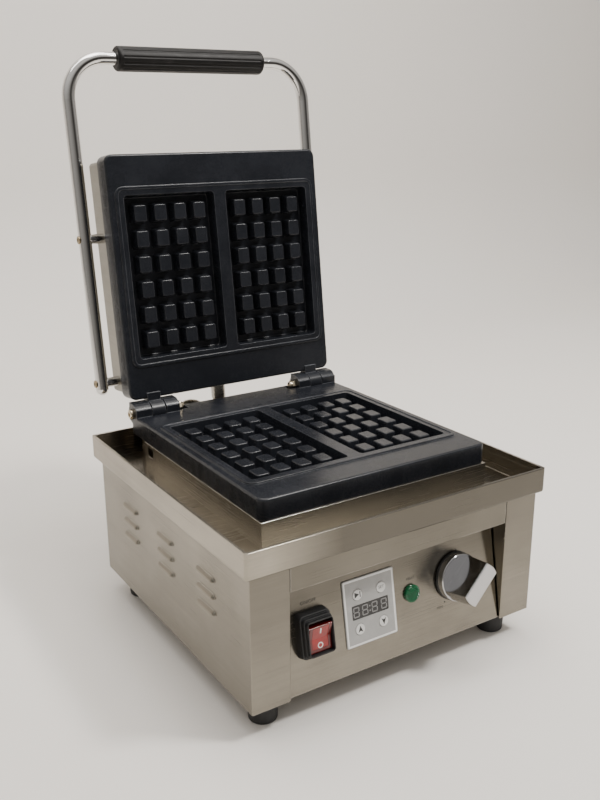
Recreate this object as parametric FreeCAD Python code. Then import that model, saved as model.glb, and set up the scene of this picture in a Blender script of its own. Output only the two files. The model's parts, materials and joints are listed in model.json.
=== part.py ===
import FreeCAD, Part
import math
import os
from FreeCAD import Vector as V

# Electric double waffle maker. Millimetres, +Z up, -Y is the front.
# The origin is on the surface it stands on, under the middle of its overall width and depth.

# ---------------------------------------------------------------- driving dimensions
SHEET = 1.2                 # cabinet and tray sheet
FIT = 0.3                   # gap between sheet parts, and round a key in its hole
RUN = 0.05                  # radial gap of a running fit
DEPTH_SHIFT = -28.0         # moves the cabinet-centred model to the middle of the overall depth

CAB_W = 308.6
CAB_DEPTH = 304.7
CAB_FRONT = -155.4
CAB_H = 122.5
FOOT_H = 25.0
FLANGE = 12.0
POST_W = 36.8
POST_DEPTH = 32.0
HEADER_H = 22.5
HEADER_GAP = 1.4            # between the front panel's right end and the post
PANEL_SET_BACK_TOP = 19.4   # slanted panel behind the header's face, at its upper edge
PANEL_SET_BACK_FOOT = 1.9   # and at its lower edge

TRAY_LIPS = (5.7, 4.6, 10.7)    # the tray's overhang at the sides, the front and the rear
TRAY_H = 24.1
TRAY_HEM = 6.0
TRAY_CORNER = 3.0

PLATE_W = 244.4
PLATE_L = 266.5
PLATE_TO_REAR = 2.3         # lower plate's rear edge, in from the cabinet's rear
LOWER_T = 21.2
UPPER_T = 24.0
PLATE_CORNER = 8.0
HOUSING_H = 22.8
HOUSING_NOTCH_X = 12.0
HOUSING_NOTCH_Y = 36.0
HOUSING_FLANGE = 10.0

HINGE_TO_PLATE_REAR = 8.5
LID_OPEN_DEG = 97.2
PARTING_GAP = 0.4           # left between the closed plates
LID_PLATE_START = 12.8      # from the hinge axis
KNUCKLE_R = 10.5
KNUCKLE_OUTER_W = 17.0
KNUCKLE_W = 14.4
KNUCKLE_GAP = 1.2
BOLT_D = 6.0
BOLT_HEAD_D = 10.5
BOLT_HEAD_H = 4.0
NUT_AF = 10.0
NUT_H = 5.0
NUT_POCKET_L = 12.0

CAVITY_W = 100.4
CAVITY_L = 163.9
CAVITY_GAP = 13.2           # between the two cavities
CAVITY_DEPTH = 14.5
CAVITY_DRAFT = 1.6
CAVITY_CORNER = 4.0
CAVITY_FROM_HINGE = 54.2
BEAD_W = 3.0
BEAD_H = 1.5
BEAD_OFFSET = 5.5           # bead's inner side, out from the cavities
LEDGE_DROP = 0.7
PIP_COLUMNS = 4
PIP_ROWS = 6
PIP_EDGE = (17.35, 18.2)    # centre of the outermost pips, in from the cavity's sides
PIP_TOP = (13.0, 16.2)
PIP_FOOT = (16.6, 19.8)
PIP_BELOW_PARTING = 2.5
PIP_ROUND = 1.2

COVER_INSET = 4.1           # lid cover inside the upper plate's edges
COVER_H = 34.6
COVER_SHEET = 1.0
COVER_CORNER = 4.0

HANDLE_D = 13.0
HANDLE_WALL = 1.5
HANDLE_TO_COVER = 19.0      # handle axis out from the cover's side
HANDLE_LIFT = 40.0          # above the hinge axis, lid closed
HANDLE_START = 24.0
HANDLE_BEYOND = 96.0        # grip axis beyond the plates' front edge
HANDLE_BEND = 40.0
GRIP_D = 24.6
GRIP_HALF = 84.1
GRIP_FLUTES = 12
STANDOFF_D = 10.0
STANDOFFS_AT = (30.0, 178.0)    # from the hinge axis

FOOT_D = 28.0
FOOT_RECESS = 10.0
FOOT_INSET = (24.3, 25.4, 27.3)     # foot axis in from the cabinet's sides, front and rear

SWITCH_FROM_LEFT = 27.2     # axes of the controls along the slanted panel, and up from its lower edge
SWITCH_UP = 50.8
BOOT_W = 31.3
BOOT_L = 39.5
BOOT_H = 15.5
ROCKER_W = 22.4
ROCKER_L = 24.6
ROCKER_TILT = 10.0
ROCKER_PIVOT_H = 4.0
ROCKER_PIN_D = 3.0
SWITCH_HOLE_W = 25.6
SWITCH_HOLE_L = 31.0
BOOT_RIM = 1.1
BOOT_STEPS = (7.6, 11.8)    # heights of the hood's two shoulders

TIMER_FROM_SWITCH = 60.3
CONTROLS_UP = 54.2
BEZEL_W = 54.4
BEZEL_L = 60.4
BEZEL_T = 1.2
BEZEL_CORNER = 1.6
CASE_RIM = 3.2              # bezel's overhang on the case
WINDOW_W = 38.8
WINDOW_L = 12.8
KEY_D = 9.6
KEY_SPREAD = (12.6, 15.5)
KEY_PROUD = 0.7
KEY_TRAVEL = 0.4
BOARD_DEPTH = 8.0
CASE_DEPTH = 13.0

LAMP_FROM_TIMER = 46.0
LAMP_D = 16.2
LAMP_BARREL_D = 12.0

KNOB_FROM_RIGHT = 50.4
KNOB_UP = 56.5
KNOB_D = 44.5
KNOB_H = 35.8
SKIRT_H = 7.0
GRIP_BAR_L = 42.0
GRIP_BAR_W = 16.0
KNOB_POINTS_DEG = 41.0
SHAFT_D = 6.0

CONDUIT_D = 14.0
CONDUIT_X = -3.0           # where it leaves the lid
FERRULE_D = 15.6
FERRULE_L = 23.5
FERRULE_NECK_D = 10.6
ELBOW_X = -62.0
ELBOW_BELOW_TOP = 32.5
ELBOW_BEND = 12.0
ELBOW_D = 16.0
GLAND_X = 95.0
GLAND_UP = 30.0
GLAND_BORE_D = 8.0
GLAND_THREAD_D = 16.0

HEATER_D = 8.0
HEATER_SPREAD = 30.0        # half the pitch between the element's legs
HEATER_HALF = 72.0          # half the length of the legs
CLAMP_SHEET = 1.2
CLAMP_HALF = (98.0, 80.0)
PAD_HALF = (108.0, 92.0)
PAD_GAP = 0.5
UPPER_PAD_T = 14.0
SCREW_D = 4.0
SCREW_L = 8.0
SCREW_HEAD_D = 8.0
SCREW_HEAD_H = 2.4
FOOT_SCREW_D = 5.0
PLATE_SCREW_L = 9.0
HANDLE_SCREW_D = 5.0
HANDLE_SCREW_SADDLE = 0.6   # the head is hollowed to sit this deep on the tube

LOUVRE_L = 34.0
LOUVRE_R = 4.6
LOUVRE_SUNK = 1.8
LOUVRE_Y = (-80.0, 0.0, 79.0)
LOUVRE_BELOW_TOP = (30.5, 46.0, 61.5)

# ---------------------------------------------------------------- derived places
HALF = CAB_W / 2
CAB_REAR = CAB_FRONT + CAB_DEPTH
CAB_TOP = FOOT_H + CAB_H
DECK_BOTTOM = CAB_TOP - SHEET
TRAY_FLOOR = CAB_TOP + SHEET
TRAY_W = CAB_W + 2 * TRAY_LIPS[0]
TRAY_FRONT = CAB_FRONT - TRAY_LIPS[1]
TRAY_REAR = CAB_REAR + TRAY_LIPS[2]
BOTTOM_FLANGE_Z = FOOT_H + SHEET
PANEL_TOP_Z = CAB_TOP - HEADER_H
PANEL_FOOT = V(0, CAB_FRONT + PANEL_SET_BACK_FOOT, FOOT_H)
PANEL_HEAD = V(0, CAB_FRONT + PANEL_SET_BACK_TOP, PANEL_TOP_Z)
PANEL_UP = (PANEL_HEAD - PANEL_FOOT).normalize()
PANEL_OUT = V(1, 0, 0).cross(PANEL_UP)
POST_INNER = HALF - POST_W

PLATE_BOTTOM = TRAY_FLOOR + HOUSING_H
PLATE_REAR = CAB_REAR - PLATE_TO_REAR
PLATE_FRONT = PLATE_REAR - PLATE_L
PARTING = PLATE_BOTTOM + LOWER_T
HINGE_Y = PLATE_REAR - HINGE_TO_PLATE_REAR
HINGE_Z = PARTING + PARTING_GAP
PLATE_END = HINGE_Y - PLATE_FRONT
KNUCKLE_OUTER = PLATE_W / 2
KNUCKLE_MID = KNUCKLE_OUTER - KNUCKLE_OUTER_W - KNUCKLE_GAP
KNUCKLE_INNER = KNUCKLE_MID - KNUCKLE_W - KNUCKLE_GAP
KNUCKLE_END = KNUCKLE_INNER - KNUCKLE_W
CAVITY_X = (CAVITY_GAP + CAVITY_W) / 2
CAVITY_Y = HINGE_Y - CAVITY_FROM_HINGE - CAVITY_L / 2
PIP_PITCH_X = (CAVITY_W - 2 * PIP_EDGE[0]) / (PIP_COLUMNS - 1)
PIP_PITCH_Y = (CAVITY_L - 2 * PIP_EDGE[1]) / (PIP_ROWS - 1)

UPPER_BACK = HINGE_Z + UPPER_T
COVER_BACK = UPPER_BACK + COVER_H
COVER_W = PLATE_W - 2 * COVER_INSET
COVER_START = LID_PLATE_START + COVER_INSET
COVER_END = PLATE_END - COVER_INSET
HANDLE_Z = HINGE_Z + HANDLE_LIFT
HANDLE_X = COVER_W / 2 + HANDLE_TO_COVER
HANDLE_REACH = PLATE_END + HANDLE_BEYOND

SWITCH_AT = (SWITCH_FROM_LEFT - POST_INNER, SWITCH_UP)
TIMER_AT = (SWITCH_AT[0] + TIMER_FROM_SWITCH, CONTROLS_UP)
LAMP_AT = (TIMER_AT[0] + LAMP_FROM_TIMER, CONTROLS_UP)
KNOB_AT = (POST_INNER - KNOB_FROM_RIGHT, KNOB_UP)
CASE_W = BEZEL_W - 2 * CASE_RIM
CASE_L = BEZEL_L - 2 * CASE_RIM
GLAND_AT = (GLAND_X, FOOT_H + GLAND_UP)
ELBOW_Z = CAB_TOP - ELBOW_BELOW_TOP

X, Y, Z = V(1, 0, 0), V(0, 1, 0), V(0, 0, 1)
nodes = {}


# ---------------------------------------------------------------- shape helpers
def box(x0, x1, y0, y1, z0, z1):
    return Part.makeBox(x1 - x0, y1 - y0, z1 - z0, V(x0, y0, z0))


def cyl(at, along, d, length):
    return Part.makeCylinder(d / 2, length, at, along)


def fuse(shapes):
    shapes = list(shapes)
    whole = shapes[0]
    if len(shapes) > 1:
        whole = shapes[0].multiFuse(shapes[1:])
    return whole.removeSplitter()


def cut(shape, tools):
    tools = list(tools)
    if not tools:
        return shape
    return shape.cut(tools)


def mirror_x(shape):
    return shape.mirror(V(0, 0, 0), X)


def both_sides(shape):
    return [shape, mirror_x(shape)]


def polygon_wire(points):
    return Part.makePolygon(list(points) + [points[0]])


def prism(points, along):
    return Part.Face(polygon_wire(points)).extrude(along)


def round_rect(w, l, r, at=V(0, 0, 0)):
    """A rounded rectangle's wire in the XY plane, always with eight edges."""
    hx, hy = w / 2, l / 2
    k = r * (1 - math.sqrt(0.5))
    edges = []
    corners = [(1, 1), (-1, 1), (-1, -1), (1, -1)]
    for i, (sx, sy) in enumerate(corners):
        if sx * sy > 0:
            a = V(sx * hx, sy * (hy - r), 0)
            b = V(sx * (hx - r), sy * hy, 0)
        else:
            a = V(sx * (hx - r), sy * hy, 0)
            b = V(sx * hx, sy * (hy - r), 0)
        mid = V(sx * (hx - k), sy * (hy - k), 0)
        edges.append((a + at, mid + at, b + at))
    out = []
    for i, (a, mid, b) in enumerate(edges):
        out.append(Part.Arc(a, mid, b).toShape())
        out.append(Part.makeLine(b, edges[(i + 1) % 4][0]))
    return Part.Wire(out)


def round_box(w, l, r, z0, z1, x=0.0, y=0.0):
    face = Part.Face(round_rect(w, l, r, V(x, y, z0)))
    return face.extrude(V(0, 0, z1 - z0))


def frustum(foot, top, r, z0, z1, x=0.0, y=0.0):
    """A tapered block with rounded upright corners."""
    wires = [round_rect(foot[0], foot[1], r, V(x, y, z0)), round_rect(top[0], top[1], r, V(x, y, z1))]
    return Part.makeLoft(wires, True, True)


def hexagon(at, u, v, across_corners):
    """The six corners of a hexagon about a point, in the plane of two unit vectors."""
    r = across_corners / 2
    return [at + u * (r * math.cos(i * math.pi / 3)) + v * (r * math.sin(i * math.pi / 3)) for i in range(6)]


def edges_where(shape, test):
    return [e for e in shape.Edges if test(e)]


def fillet_where(shape, radius, test):
    chosen = edges_where(shape, test)
    return shape.makeFillet(radius, chosen) if chosen else shape


def at_height(z, tol=0.01):
    def test(edge):
        b = edge.BoundBox
        return abs(b.ZMin - z) < tol and abs(b.ZMax - z) < tol
    return test


def is_upright(edge):
    b = edge.BoundBox
    return b.ZLength > 1.0 and b.XLength < 0.01 and b.YLength < 0.01


def bent_path(points, radius=None):
    """Straight runs joined by tangent arcs. Without a radius, each arc is as large as its runs allow."""
    edges, radii, start = [], [], points[0]
    for i in range(1, len(points) - 1):
        before, here, after = points[i - 1], points[i], points[i + 1]
        come, go = here - before, after - here
        turn = come.getAngle(go)
        reach = 0.45 * min(come.Length, go.Length)
        r = radius or reach / math.tan(turn / 2)
        reach = r * math.tan(turn / 2)
        a = here - V(come).normalize() * reach
        b = here + V(go).normalize() * reach
        inward = (V(go).normalize() - V(come).normalize()).normalize()
        centre = here + inward * (r / math.cos(turn / 2))
        mid = centre - inward * r
        edges.append(Part.LineSegment(start, a).toShape())
        edges.append(Part.Arc(a, mid, b).toShape())
        radii.append(round(r, 1))
        start = b
    edges.append(Part.LineSegment(start, points[-1]).toShape())
    return Part.Wire(edges), radii


def tube_along(points, d, radius=None, bore=0.0):
    path, radii = bent_path(points, radius)
    along = points[1] - points[0]

    def swept(diameter):
        ring = Part.Wire(Part.makeCircle(diameter / 2, points[0], along))
        return path.makePipeShell([ring], True, True)
    solid = swept(d)
    if bore:
        solid = solid.cut(swept(bore))
    return solid, path, radii


def folded_sheet(points, x0, x1, thick=SHEET):
    """Sheet folded along a (y, z) line, its thickness to the right of the line, from x0 to x1."""
    def offset_line(i):
        (y0, z0), (y1, z1) = points[i], points[i + 1]
        length = math.hypot(y1 - y0, z1 - z0)
        ny, nz = (z1 - z0) / length, -(y1 - y0) / length
        return (y0 + ny * thick, z0 + nz * thick), (y1 + ny * thick, z1 + nz * thick)

    inner = [offset_line(0)[0]]
    for i in range(len(points) - 2):
        (ay, az), (by, bz) = offset_line(i)
        (cy, cz), (dy, dz) = offset_line(i + 1)
        den = (by - ay) * (dz - cz) - (bz - az) * (dy - cy)
        t = ((cy - ay) * (dz - cz) - (cz - az) * (dy - cy)) / den
        inner.append((ay + t * (by - ay), az + t * (bz - az)))
    inner.append(offset_line(len(points) - 2)[1])
    outline = list(points) + inner[::-1]
    return prism([V(x0, y, z) for y, z in outline], V(x1 - x0, 0, 0))


def screw(at, into, length, d=SCREW_D, head_d=SCREW_HEAD_D, head_h=SCREW_HEAD_H):
    """A pan-head screw whose head rests at a point, with its shank going into the part."""
    into = V(into).normalize()
    head = cyl(at - into * head_h, into, head_d, head_h)
    rim = edges_where(head, lambda e: e.Closed and (e.CenterOfMass - (at - into * head_h)).Length < 0.01)
    head = head.makeFillet(head_h * 0.45, rim)
    drive = cyl(at - into * head_h, into, head_d * 0.45, head_h * 0.5)
    return fuse([cut(head, [drive]), cyl(at, into, d, length)])


def screw_hole(at, into, length, d=SCREW_D):
    into = V(into).normalize()
    return cyl(at - into, into, d + 0.2, length + 2)


def in_panel(shape):
    """Panel places: x sideways, y up the slope from the lower edge, z out of the panel."""
    turned = shape.copy()
    m = FreeCAD.Matrix(1, PANEL_UP.x, PANEL_OUT.x, PANEL_FOOT.x,
                       0, PANEL_UP.y, PANEL_OUT.y, PANEL_FOOT.y,
                       0, PANEL_UP.z, PANEL_OUT.z, PANEL_FOOT.z,
                       0, 0, 0, 1)
    turned.Placement = FreeCAD.Placement(m).multiply(turned.Placement)
    return turned


def opened(shape):
    """Lid pieces are drawn with the lid shut and turned open about the hinge."""
    turned = shape.copy()
    turned.rotate(V(0, HINGE_Y, HINGE_Z), X, -LID_OPEN_DEG)
    return turned


def from_hinge(distance):
    return HINGE_Y - distance


def add(name, shapes):
    if not isinstance(shapes, (list, tuple)):
        shapes = [shapes]
    solids = []
    for shape in shapes:
        moved = shape.copy()
        moved.translate(V(0, DEPTH_SHIFT, 0))
        solids.extend(moved.Solids)
    nodes[name] = solids


# ---------------------------------------------------------------- cabinet
FOOT_PLACES = [V(sx * (HALF - FOOT_INSET[0]), y, 0) for sx in (-1, 1)
               for y in (CAB_FRONT + FOOT_INSET[1], CAB_REAR - FOOT_INSET[2])]
FLANGE_MID = HALF - SHEET - FLANGE / 2
BOTTOM_SCREWS = [V(sx * FLANGE_MID, y, FOOT_H) for sx in (-1, 1) for y in (-90.0, 0.0, 90.0)]
REAR_SCREW_Z = (FOOT_H + 15.0, FOOT_H + CAB_H / 2, CAB_TOP - 15.5)
REAR_SCREWS = [V(sx * FLANGE_MID, CAB_REAR, z) for sx in (-1, 1) for z in REAR_SCREW_Z]


def louvre(y, z):
    """A pressed half-round hood on the left side's outer face, open below, and the slot behind it."""
    x = LOUVRE_SUNK - HALF

    def capsule(r, length):
        ends = [Part.makeSphere(r, V(x, y + s * length / 2, z)) for s in (-1, 1)]
        bar = cyl(V(x, y - length / 2, z), Y, 2 * r, length)
        return fuse([bar] + ends)
    run = LOUVRE_L - 2 * LOUVRE_R
    skin = 1.0
    shell = cut(capsule(LOUVRE_R, run), [capsule(LOUVRE_R - skin, run)])
    keep = box(-HALF - 2 * LOUVRE_R, -HALF, y - LOUVRE_L, y + LOUVRE_L, z, z + 2 * LOUVRE_R)
    slot_h = math.sqrt((LOUVRE_R - skin) ** 2 - LOUVRE_SUNK ** 2)
    slot = box(-HALF - 1, -HALF + SHEET + 1, y - run / 2, y + run / 2, z, z + slot_h)
    return shell.common(keep), slot


def side_panel():
    y_rear = CAB_REAR - SHEET
    z0, z1 = FOOT_H, CAB_TOP
    inner = -HALF + SHEET
    flange = inner + FLANGE
    skin = box(-HALF, inner, CAB_FRONT, y_rear, z0, z1)
    post = box(-HALF, -POST_INNER, CAB_FRONT, CAB_FRONT + SHEET, z0, z1)
    post_return = box(-POST_INNER - SHEET, -POST_INNER, CAB_FRONT, CAB_FRONT + POST_DEPTH, z0 + SHEET,
                      z1 - 2 * SHEET)
    bottom = box(inner, flange, CAB_FRONT + 10, y_rear, BOTTOM_FLANGE_Z, BOTTOM_FLANGE_Z + SHEET)
    top = box(inner, flange, CAB_FRONT + 3, y_rear, DECK_BOTTOM - SHEET, DECK_BOTTOM)
    rear = box(inner, flange, y_rear - SHEET, y_rear, z0 + 3, z1 - 3)
    panel = fuse([skin, post, post_return, bottom, top, rear])

    def is_front_fold(edge):
        at = edge.CenterOfMass
        on_fold = min(abs(at.x + HALF), abs(at.x + POST_INNER)) < 0.01
        return is_upright(edge) and on_fold and abs(at.y - CAB_FRONT) < 0.01
    panel = fillet_where(panel, SHEET * 0.8, is_front_fold)
    hoods, slots = zip(*[louvre(y, CAB_TOP - down) for y in LOUVRE_Y for down in LOUVRE_BELOW_TOP])
    panel = fuse([cut(panel, slots)] + list(hoods))
    holes = [screw_hole(p, Z, SCREW_L) for p in BOTTOM_SCREWS if p.x < 0]
    holes += [screw_hole(p, -Y, SCREW_L) for p in REAR_SCREWS if p.x < 0]
    return cut(panel, holes)


left_panel = side_panel()
add("side_panel_left", left_panel)
add("side_panel_right", mirror_x(left_panel))


def front_panel():
    left, right = FIT - POST_INNER, POST_INNER - HEADER_GAP
    slope = (PANEL_HEAD.y - PANEL_FOOT.y) / (PANEL_TOP_Z - FOOT_H)
    fold_y = PANEL_FOOT.y + slope * SHEET
    line = [
        (fold_y + FLANGE, BOTTOM_FLANGE_Z),
        (fold_y, BOTTOM_FLANGE_Z),
        (PANEL_HEAD.y, PANEL_TOP_Z),
        (CAB_FRONT, PANEL_TOP_Z),
        (CAB_FRONT, DECK_BOTTOM),
        (CAB_FRONT + FLANGE, DECK_BOTTOM),
    ]
    sheet = folded_sheet(line, left, right)
    deep = 6.0
    cuts = [
        round_box(SWITCH_HOLE_W, SWITCH_HOLE_L, 1.0, -deep, deep, *SWITCH_AT),
        round_box(CASE_W + FIT, CASE_L + FIT, 2.0, -deep, deep, *TIMER_AT),
        cyl(V(*LAMP_AT, -deep), Z, LAMP_BARREL_D + 0.4, 2 * deep),
        cyl(V(*KNOB_AT, -deep), Z, SHAFT_D + 3.0, 2 * deep),
    ]
    return cut(sheet, [in_panel(c) for c in cuts])


add("front_panel", front_panel())


def rear_panel():
    y0 = CAB_REAR - SHEET
    panel = box(-HALF, HALF, y0, CAB_REAR, FOOT_H, CAB_TOP)
    slot_l, slot_h, rows, pitch = 60.0, 4.0, 5, 9.0
    first_z = FOOT_H + 25.0
    slots = []
    for x in (-90.0, 20.0):
        for row in range(rows):
            slot = round_box(slot_l, slot_h, slot_h / 2 - 0.01, -3, 3)
            slot.rotate(V(0, 0, 0), X, 90)
            slot.translate(V(x, CAB_REAR, first_z + row * pitch))
            slots.append(slot)
    holes = [screw_hole(p, -Y, SCREW_L) for p in REAR_SCREWS]
    holes.append(cyl(V(GLAND_AT[0], y0 - 1, GLAND_AT[1]), Y, GLAND_THREAD_D + 0.4, SHEET + 2))
    holes.append(cyl(V(ELBOW_X, y0 - 1, ELBOW_Z), Y, ELBOW_D - 2.6, SHEET + 2))
    return cut(panel, slots + holes)


add("rear_panel", rear_panel())


def bottom_cover():
    hx = HALF - SHEET - FIT
    y0 = PANEL_FOOT.y + SHEET + FIT
    y1 = CAB_REAR - SHEET - FIT
    plate = box(-hx, hx, y0, y1, FOOT_H, FOOT_H + SHEET)
    slot_w, slot_l, pitch, count = 5.0, 60.0, 10.0, 18
    first_x = -(count - 1) * pitch / 2
    slots = []
    for i in range(count):
        x = first_x + i * pitch
        slots.append(round_box(slot_w, slot_l, 2.4, FOOT_H - 1, FOOT_H + SHEET + 1, x, 70.0))
    holes = [screw_hole(p, Z, SCREW_L) for p in BOTTOM_SCREWS]
    holes += [cyl(V(p.x, p.y, FOOT_H - 1), Z, FOOT_SCREW_D + 0.2, SHEET + 2) for p in FOOT_PLACES]
    return cut(plate, slots + holes)


add("bottom_cover", bottom_cover())

# the deck and the tray are open under the heater housing
OPEN_W = PLATE_W - 44.0
OPEN_FRONT = CAVITY_Y - 82.0
OPEN_REAR = CAVITY_Y + 110.0
HOUSING_SCREW_X = PLATE_W / 2 - 6.2
HOUSING_SCREWS = [V(sx * HOUSING_SCREW_X, CAVITY_Y + dy, TRAY_FLOOR + SHEET)
                  for sx in (-1, 1) for dy in (-92.0, 58.0)]
PLATE_SCREWS = [V(sx * HOUSING_SCREW_X, CAVITY_Y + dy, PLATE_BOTTOM - SHEET)
                for sx in (-1, 1) for dy in (-62.0, 88.0)]


def opening_cut():
    return round_box(OPEN_W, OPEN_REAR - OPEN_FRONT, 6.0, FOOT_H, PARTING, 0, (OPEN_FRONT + OPEN_REAR) / 2)


def deck():
    hx = HALF - SHEET - FIT
    plate = box(-hx, hx, CAB_FRONT + FIT, CAB_REAR - SHEET - FIT, DECK_BOTTOM, CAB_TOP)
    # the side panels' posts stand in front of the deck's corners
    corner_y = CAB_FRONT + SHEET + FIT
    corners = [box(sx * HALF - POST_W - FIT, sx * HALF + POST_W + FIT, CAB_FRONT - 1, corner_y,
                   DECK_BOTTOM - 1, CAB_TOP + 1) for sx in (-1, 1)]
    holes = [screw_hole(p, -Z, 6.0) for p in HOUSING_SCREWS]
    return cut(plate, corners + [opening_cut()] + holes)


add("deck", deck())


def drip_tray():
    length = TRAY_REAR - TRAY_FRONT
    mid = (TRAY_REAR + TRAY_FRONT) / 2
    z1 = CAB_TOP + TRAY_H
    outer = round_box(TRAY_W, length, TRAY_CORNER, CAB_TOP, z1, 0, mid)
    outer = fillet_where(outer, 2.4, at_height(CAB_TOP))
    outer = fillet_where(outer, 0.5, at_height(z1))
    inner = round_box(TRAY_W - 2 * SHEET, length - 2 * SHEET, TRAY_CORNER - SHEET, TRAY_FLOOR,
                      z1 - TRAY_HEM, 0, mid)
    inner = fillet_where(inner, 1.2, at_height(TRAY_FLOOR))
    mouth = round_box(TRAY_W - 4 * SHEET, length - 4 * SHEET, 0.6, z1 - TRAY_HEM - 1, z1 + 1, 0, mid)
    holes = [screw_hole(p, -Z, 6.0) for p in HOUSING_SCREWS]
    return cut(outer, [inner, mouth, opening_cut()] + holes)


add("drip_tray", drip_tray())


def notched_outline(inset, z):
    hx = PLATE_W / 2 - inset
    nx = hx - HOUSING_NOTCH_X
    y0 = PLATE_FRONT + inset
    ny = PLATE_REAR - HOUSING_NOTCH_Y - inset
    y1 = PLATE_REAR - inset
    pairs = [(-hx, y0), (hx, y0), (hx, ny), (nx, ny), (nx, y1), (-nx, y1), (-nx, ny), (-hx, ny)]
    return [V(x, y, z) for x, y in pairs]


def heater_housing():
    z0, z1 = TRAY_FLOOR, PLATE_BOTTOM
    rise = V(0, 0, z1 - z0)
    outer = prism(notched_outline(0, z0), rise)
    well = prism(notched_outline(SHEET, z0 + SHEET), V(0, 0, z1 - z0 - 2 * SHEET))
    through = prism(notched_outline(SHEET + HOUSING_FLANGE, z0 - 1), rise + V(0, 0, 2))
    shell = cut(outer, [well, through])
    slot_rear = PLATE_REAR - HOUSING_NOTCH_Y - 7.0
    slots = [box(sx * PLATE_W / 2 - 2, sx * PLATE_W / 2 + 2, slot_rear - 12, slot_rear, z0 + 10, z0 + 19)
             for sx in (-1, 1)]
    holes = [screw_hole(p, -Z, 6.0) for p in HOUSING_SCREWS]
    holes += [screw_hole(p, Z, 3.0) for p in PLATE_SCREWS]
    return cut(shell, slots + holes)


add("heater_housing", heater_housing())
add("housing_screws", [screw(p, -Z, 8.0) for p in HOUSING_SCREWS])
add("plate_screws", [screw(p, Z, PLATE_SCREW_L) for p in PLATE_SCREWS])


def foot(at):
    """A tapered rubber foot with a recess for its screw."""
    body = Part.makeCone(FOOT_D / 2 - 1.5, FOOT_D / 2, FOOT_H, at)
    body = fillet_where(body, 1.5, at_height(0))
    recess = cyl(at - Z, Z, 12.0, FOOT_RECESS + 1)
    bore = cyl(at - Z, Z, FOOT_SCREW_D + 0.2, FOOT_H + 2)
    return cut(body, [recess, bore])


add("feet", [foot(p) for p in FOOT_PLACES])
add("foot_screws", [screw(p + Z * FOOT_RECESS, Z, FOOT_H - FOOT_RECESS + SCREW_L, FOOT_SCREW_D, 10.0, 3.0)
                    for p in FOOT_PLACES])
panel_screws = [screw(p, Z, SCREW_L) for p in BOTTOM_SCREWS] + [screw(p, -Y, SCREW_L) for p in REAR_SCREWS]
add("panel_screws", panel_screws)


# ---------------------------------------------------------------- moulds
def mould_slab(front, rear, thick):
    """A cast plate with its working face at z = 0 and looking up."""
    mid = (front + rear) / 2
    slab = round_box(PLATE_W, rear - front, PLATE_CORNER, -thick, -BEAD_H, 0, mid)
    slab = fillet_where(slab, 2.5, at_height(-BEAD_H))
    slab = fillet_where(slab, 1.5, at_height(-thick))
    field_w = 2 * CAVITY_X + CAVITY_W + 2 * BEAD_OFFSET
    field_l = CAVITY_L + 2 * BEAD_OFFSET
    r = CAVITY_CORNER + 2.0
    bead = round_box(field_w + 2 * BEAD_W, field_l + 2 * BEAD_W, r + BEAD_W, -BEAD_H - 0.5, 0, 0, CAVITY_Y)
    bead = fillet_where(bead, 0.7, at_height(0))
    ledge = round_box(field_w, field_l, r, -LEDGE_DROP, 1, 0, CAVITY_Y)
    ledge = fillet_where(ledge, 0.5, at_height(-LEDGE_DROP))
    plate = fuse([slab, bead])
    pockets = []
    for sx in (-1, 1):
        top = (CAVITY_W, CAVITY_L)
        foot_size = (CAVITY_W - 2 * CAVITY_DRAFT, CAVITY_L - 2 * CAVITY_DRAFT)
        pocket = frustum(foot_size, top, CAVITY_CORNER, -CAVITY_DEPTH, -LEDGE_DROP, sx * CAVITY_X, CAVITY_Y)
        lip = round_box(*top, CAVITY_CORNER, -LEDGE_DROP, 1, sx * CAVITY_X, CAVITY_Y)
        pockets += [fillet_where(pocket, 1.4, at_height(-CAVITY_DEPTH)), lip]
    return cut(plate, [ledge] + pockets)


def one_pip():
    height = CAVITY_DEPTH - PIP_BELOW_PARTING
    pip = frustum(PIP_FOOT, PIP_TOP, 2.2, -CAVITY_DEPTH, -CAVITY_DEPTH + height)
    return fillet_where(pip, PIP_ROUND, at_height(-PIP_BELOW_PARTING))


def pips():
    made = []
    base = one_pip()
    for sx in (-1, 1):
        for col in range(PIP_COLUMNS):
            for row in range(PIP_ROWS):
                pip = base.copy()
                x = sx * CAVITY_X + (col - (PIP_COLUMNS - 1) / 2) * PIP_PITCH_X
                y = CAVITY_Y + (row - (PIP_ROWS - 1) / 2) * PIP_PITCH_Y
                pip.translate(V(x, y, 0))
                made.append(pip)
    return made


def face_up(shape):
    moved = shape.copy()
    moved.translate(V(0, 0, PARTING))
    return moved


def face_down(shape):
    moved = shape.mirror(V(0, 0, 0), Z)
    moved.translate(V(0, 0, HINGE_Z))
    return moved


def hinge_bore(x0, x1):
    return cyl(V(x0, HINGE_Y, HINGE_Z), X, BOLT_D + 2 * RUN, x1 - x0)


def base_knuckle(x0, x1):
    r = KNUCKLE_R
    barrel = cyl(V(x0, HINGE_Y, HINGE_Z), X, 2 * r, x1 - x0)
    front = box(x0, x1, HINGE_Y - r, HINGE_Y, PARTING - 8, HINGE_Z + r * 0.55)
    rear = box(x0, x1, HINGE_Y, HINGE_Y + r * 0.8, PARTING - 8, HINGE_Z + r)
    return fuse([barrel, front, rear])


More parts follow.
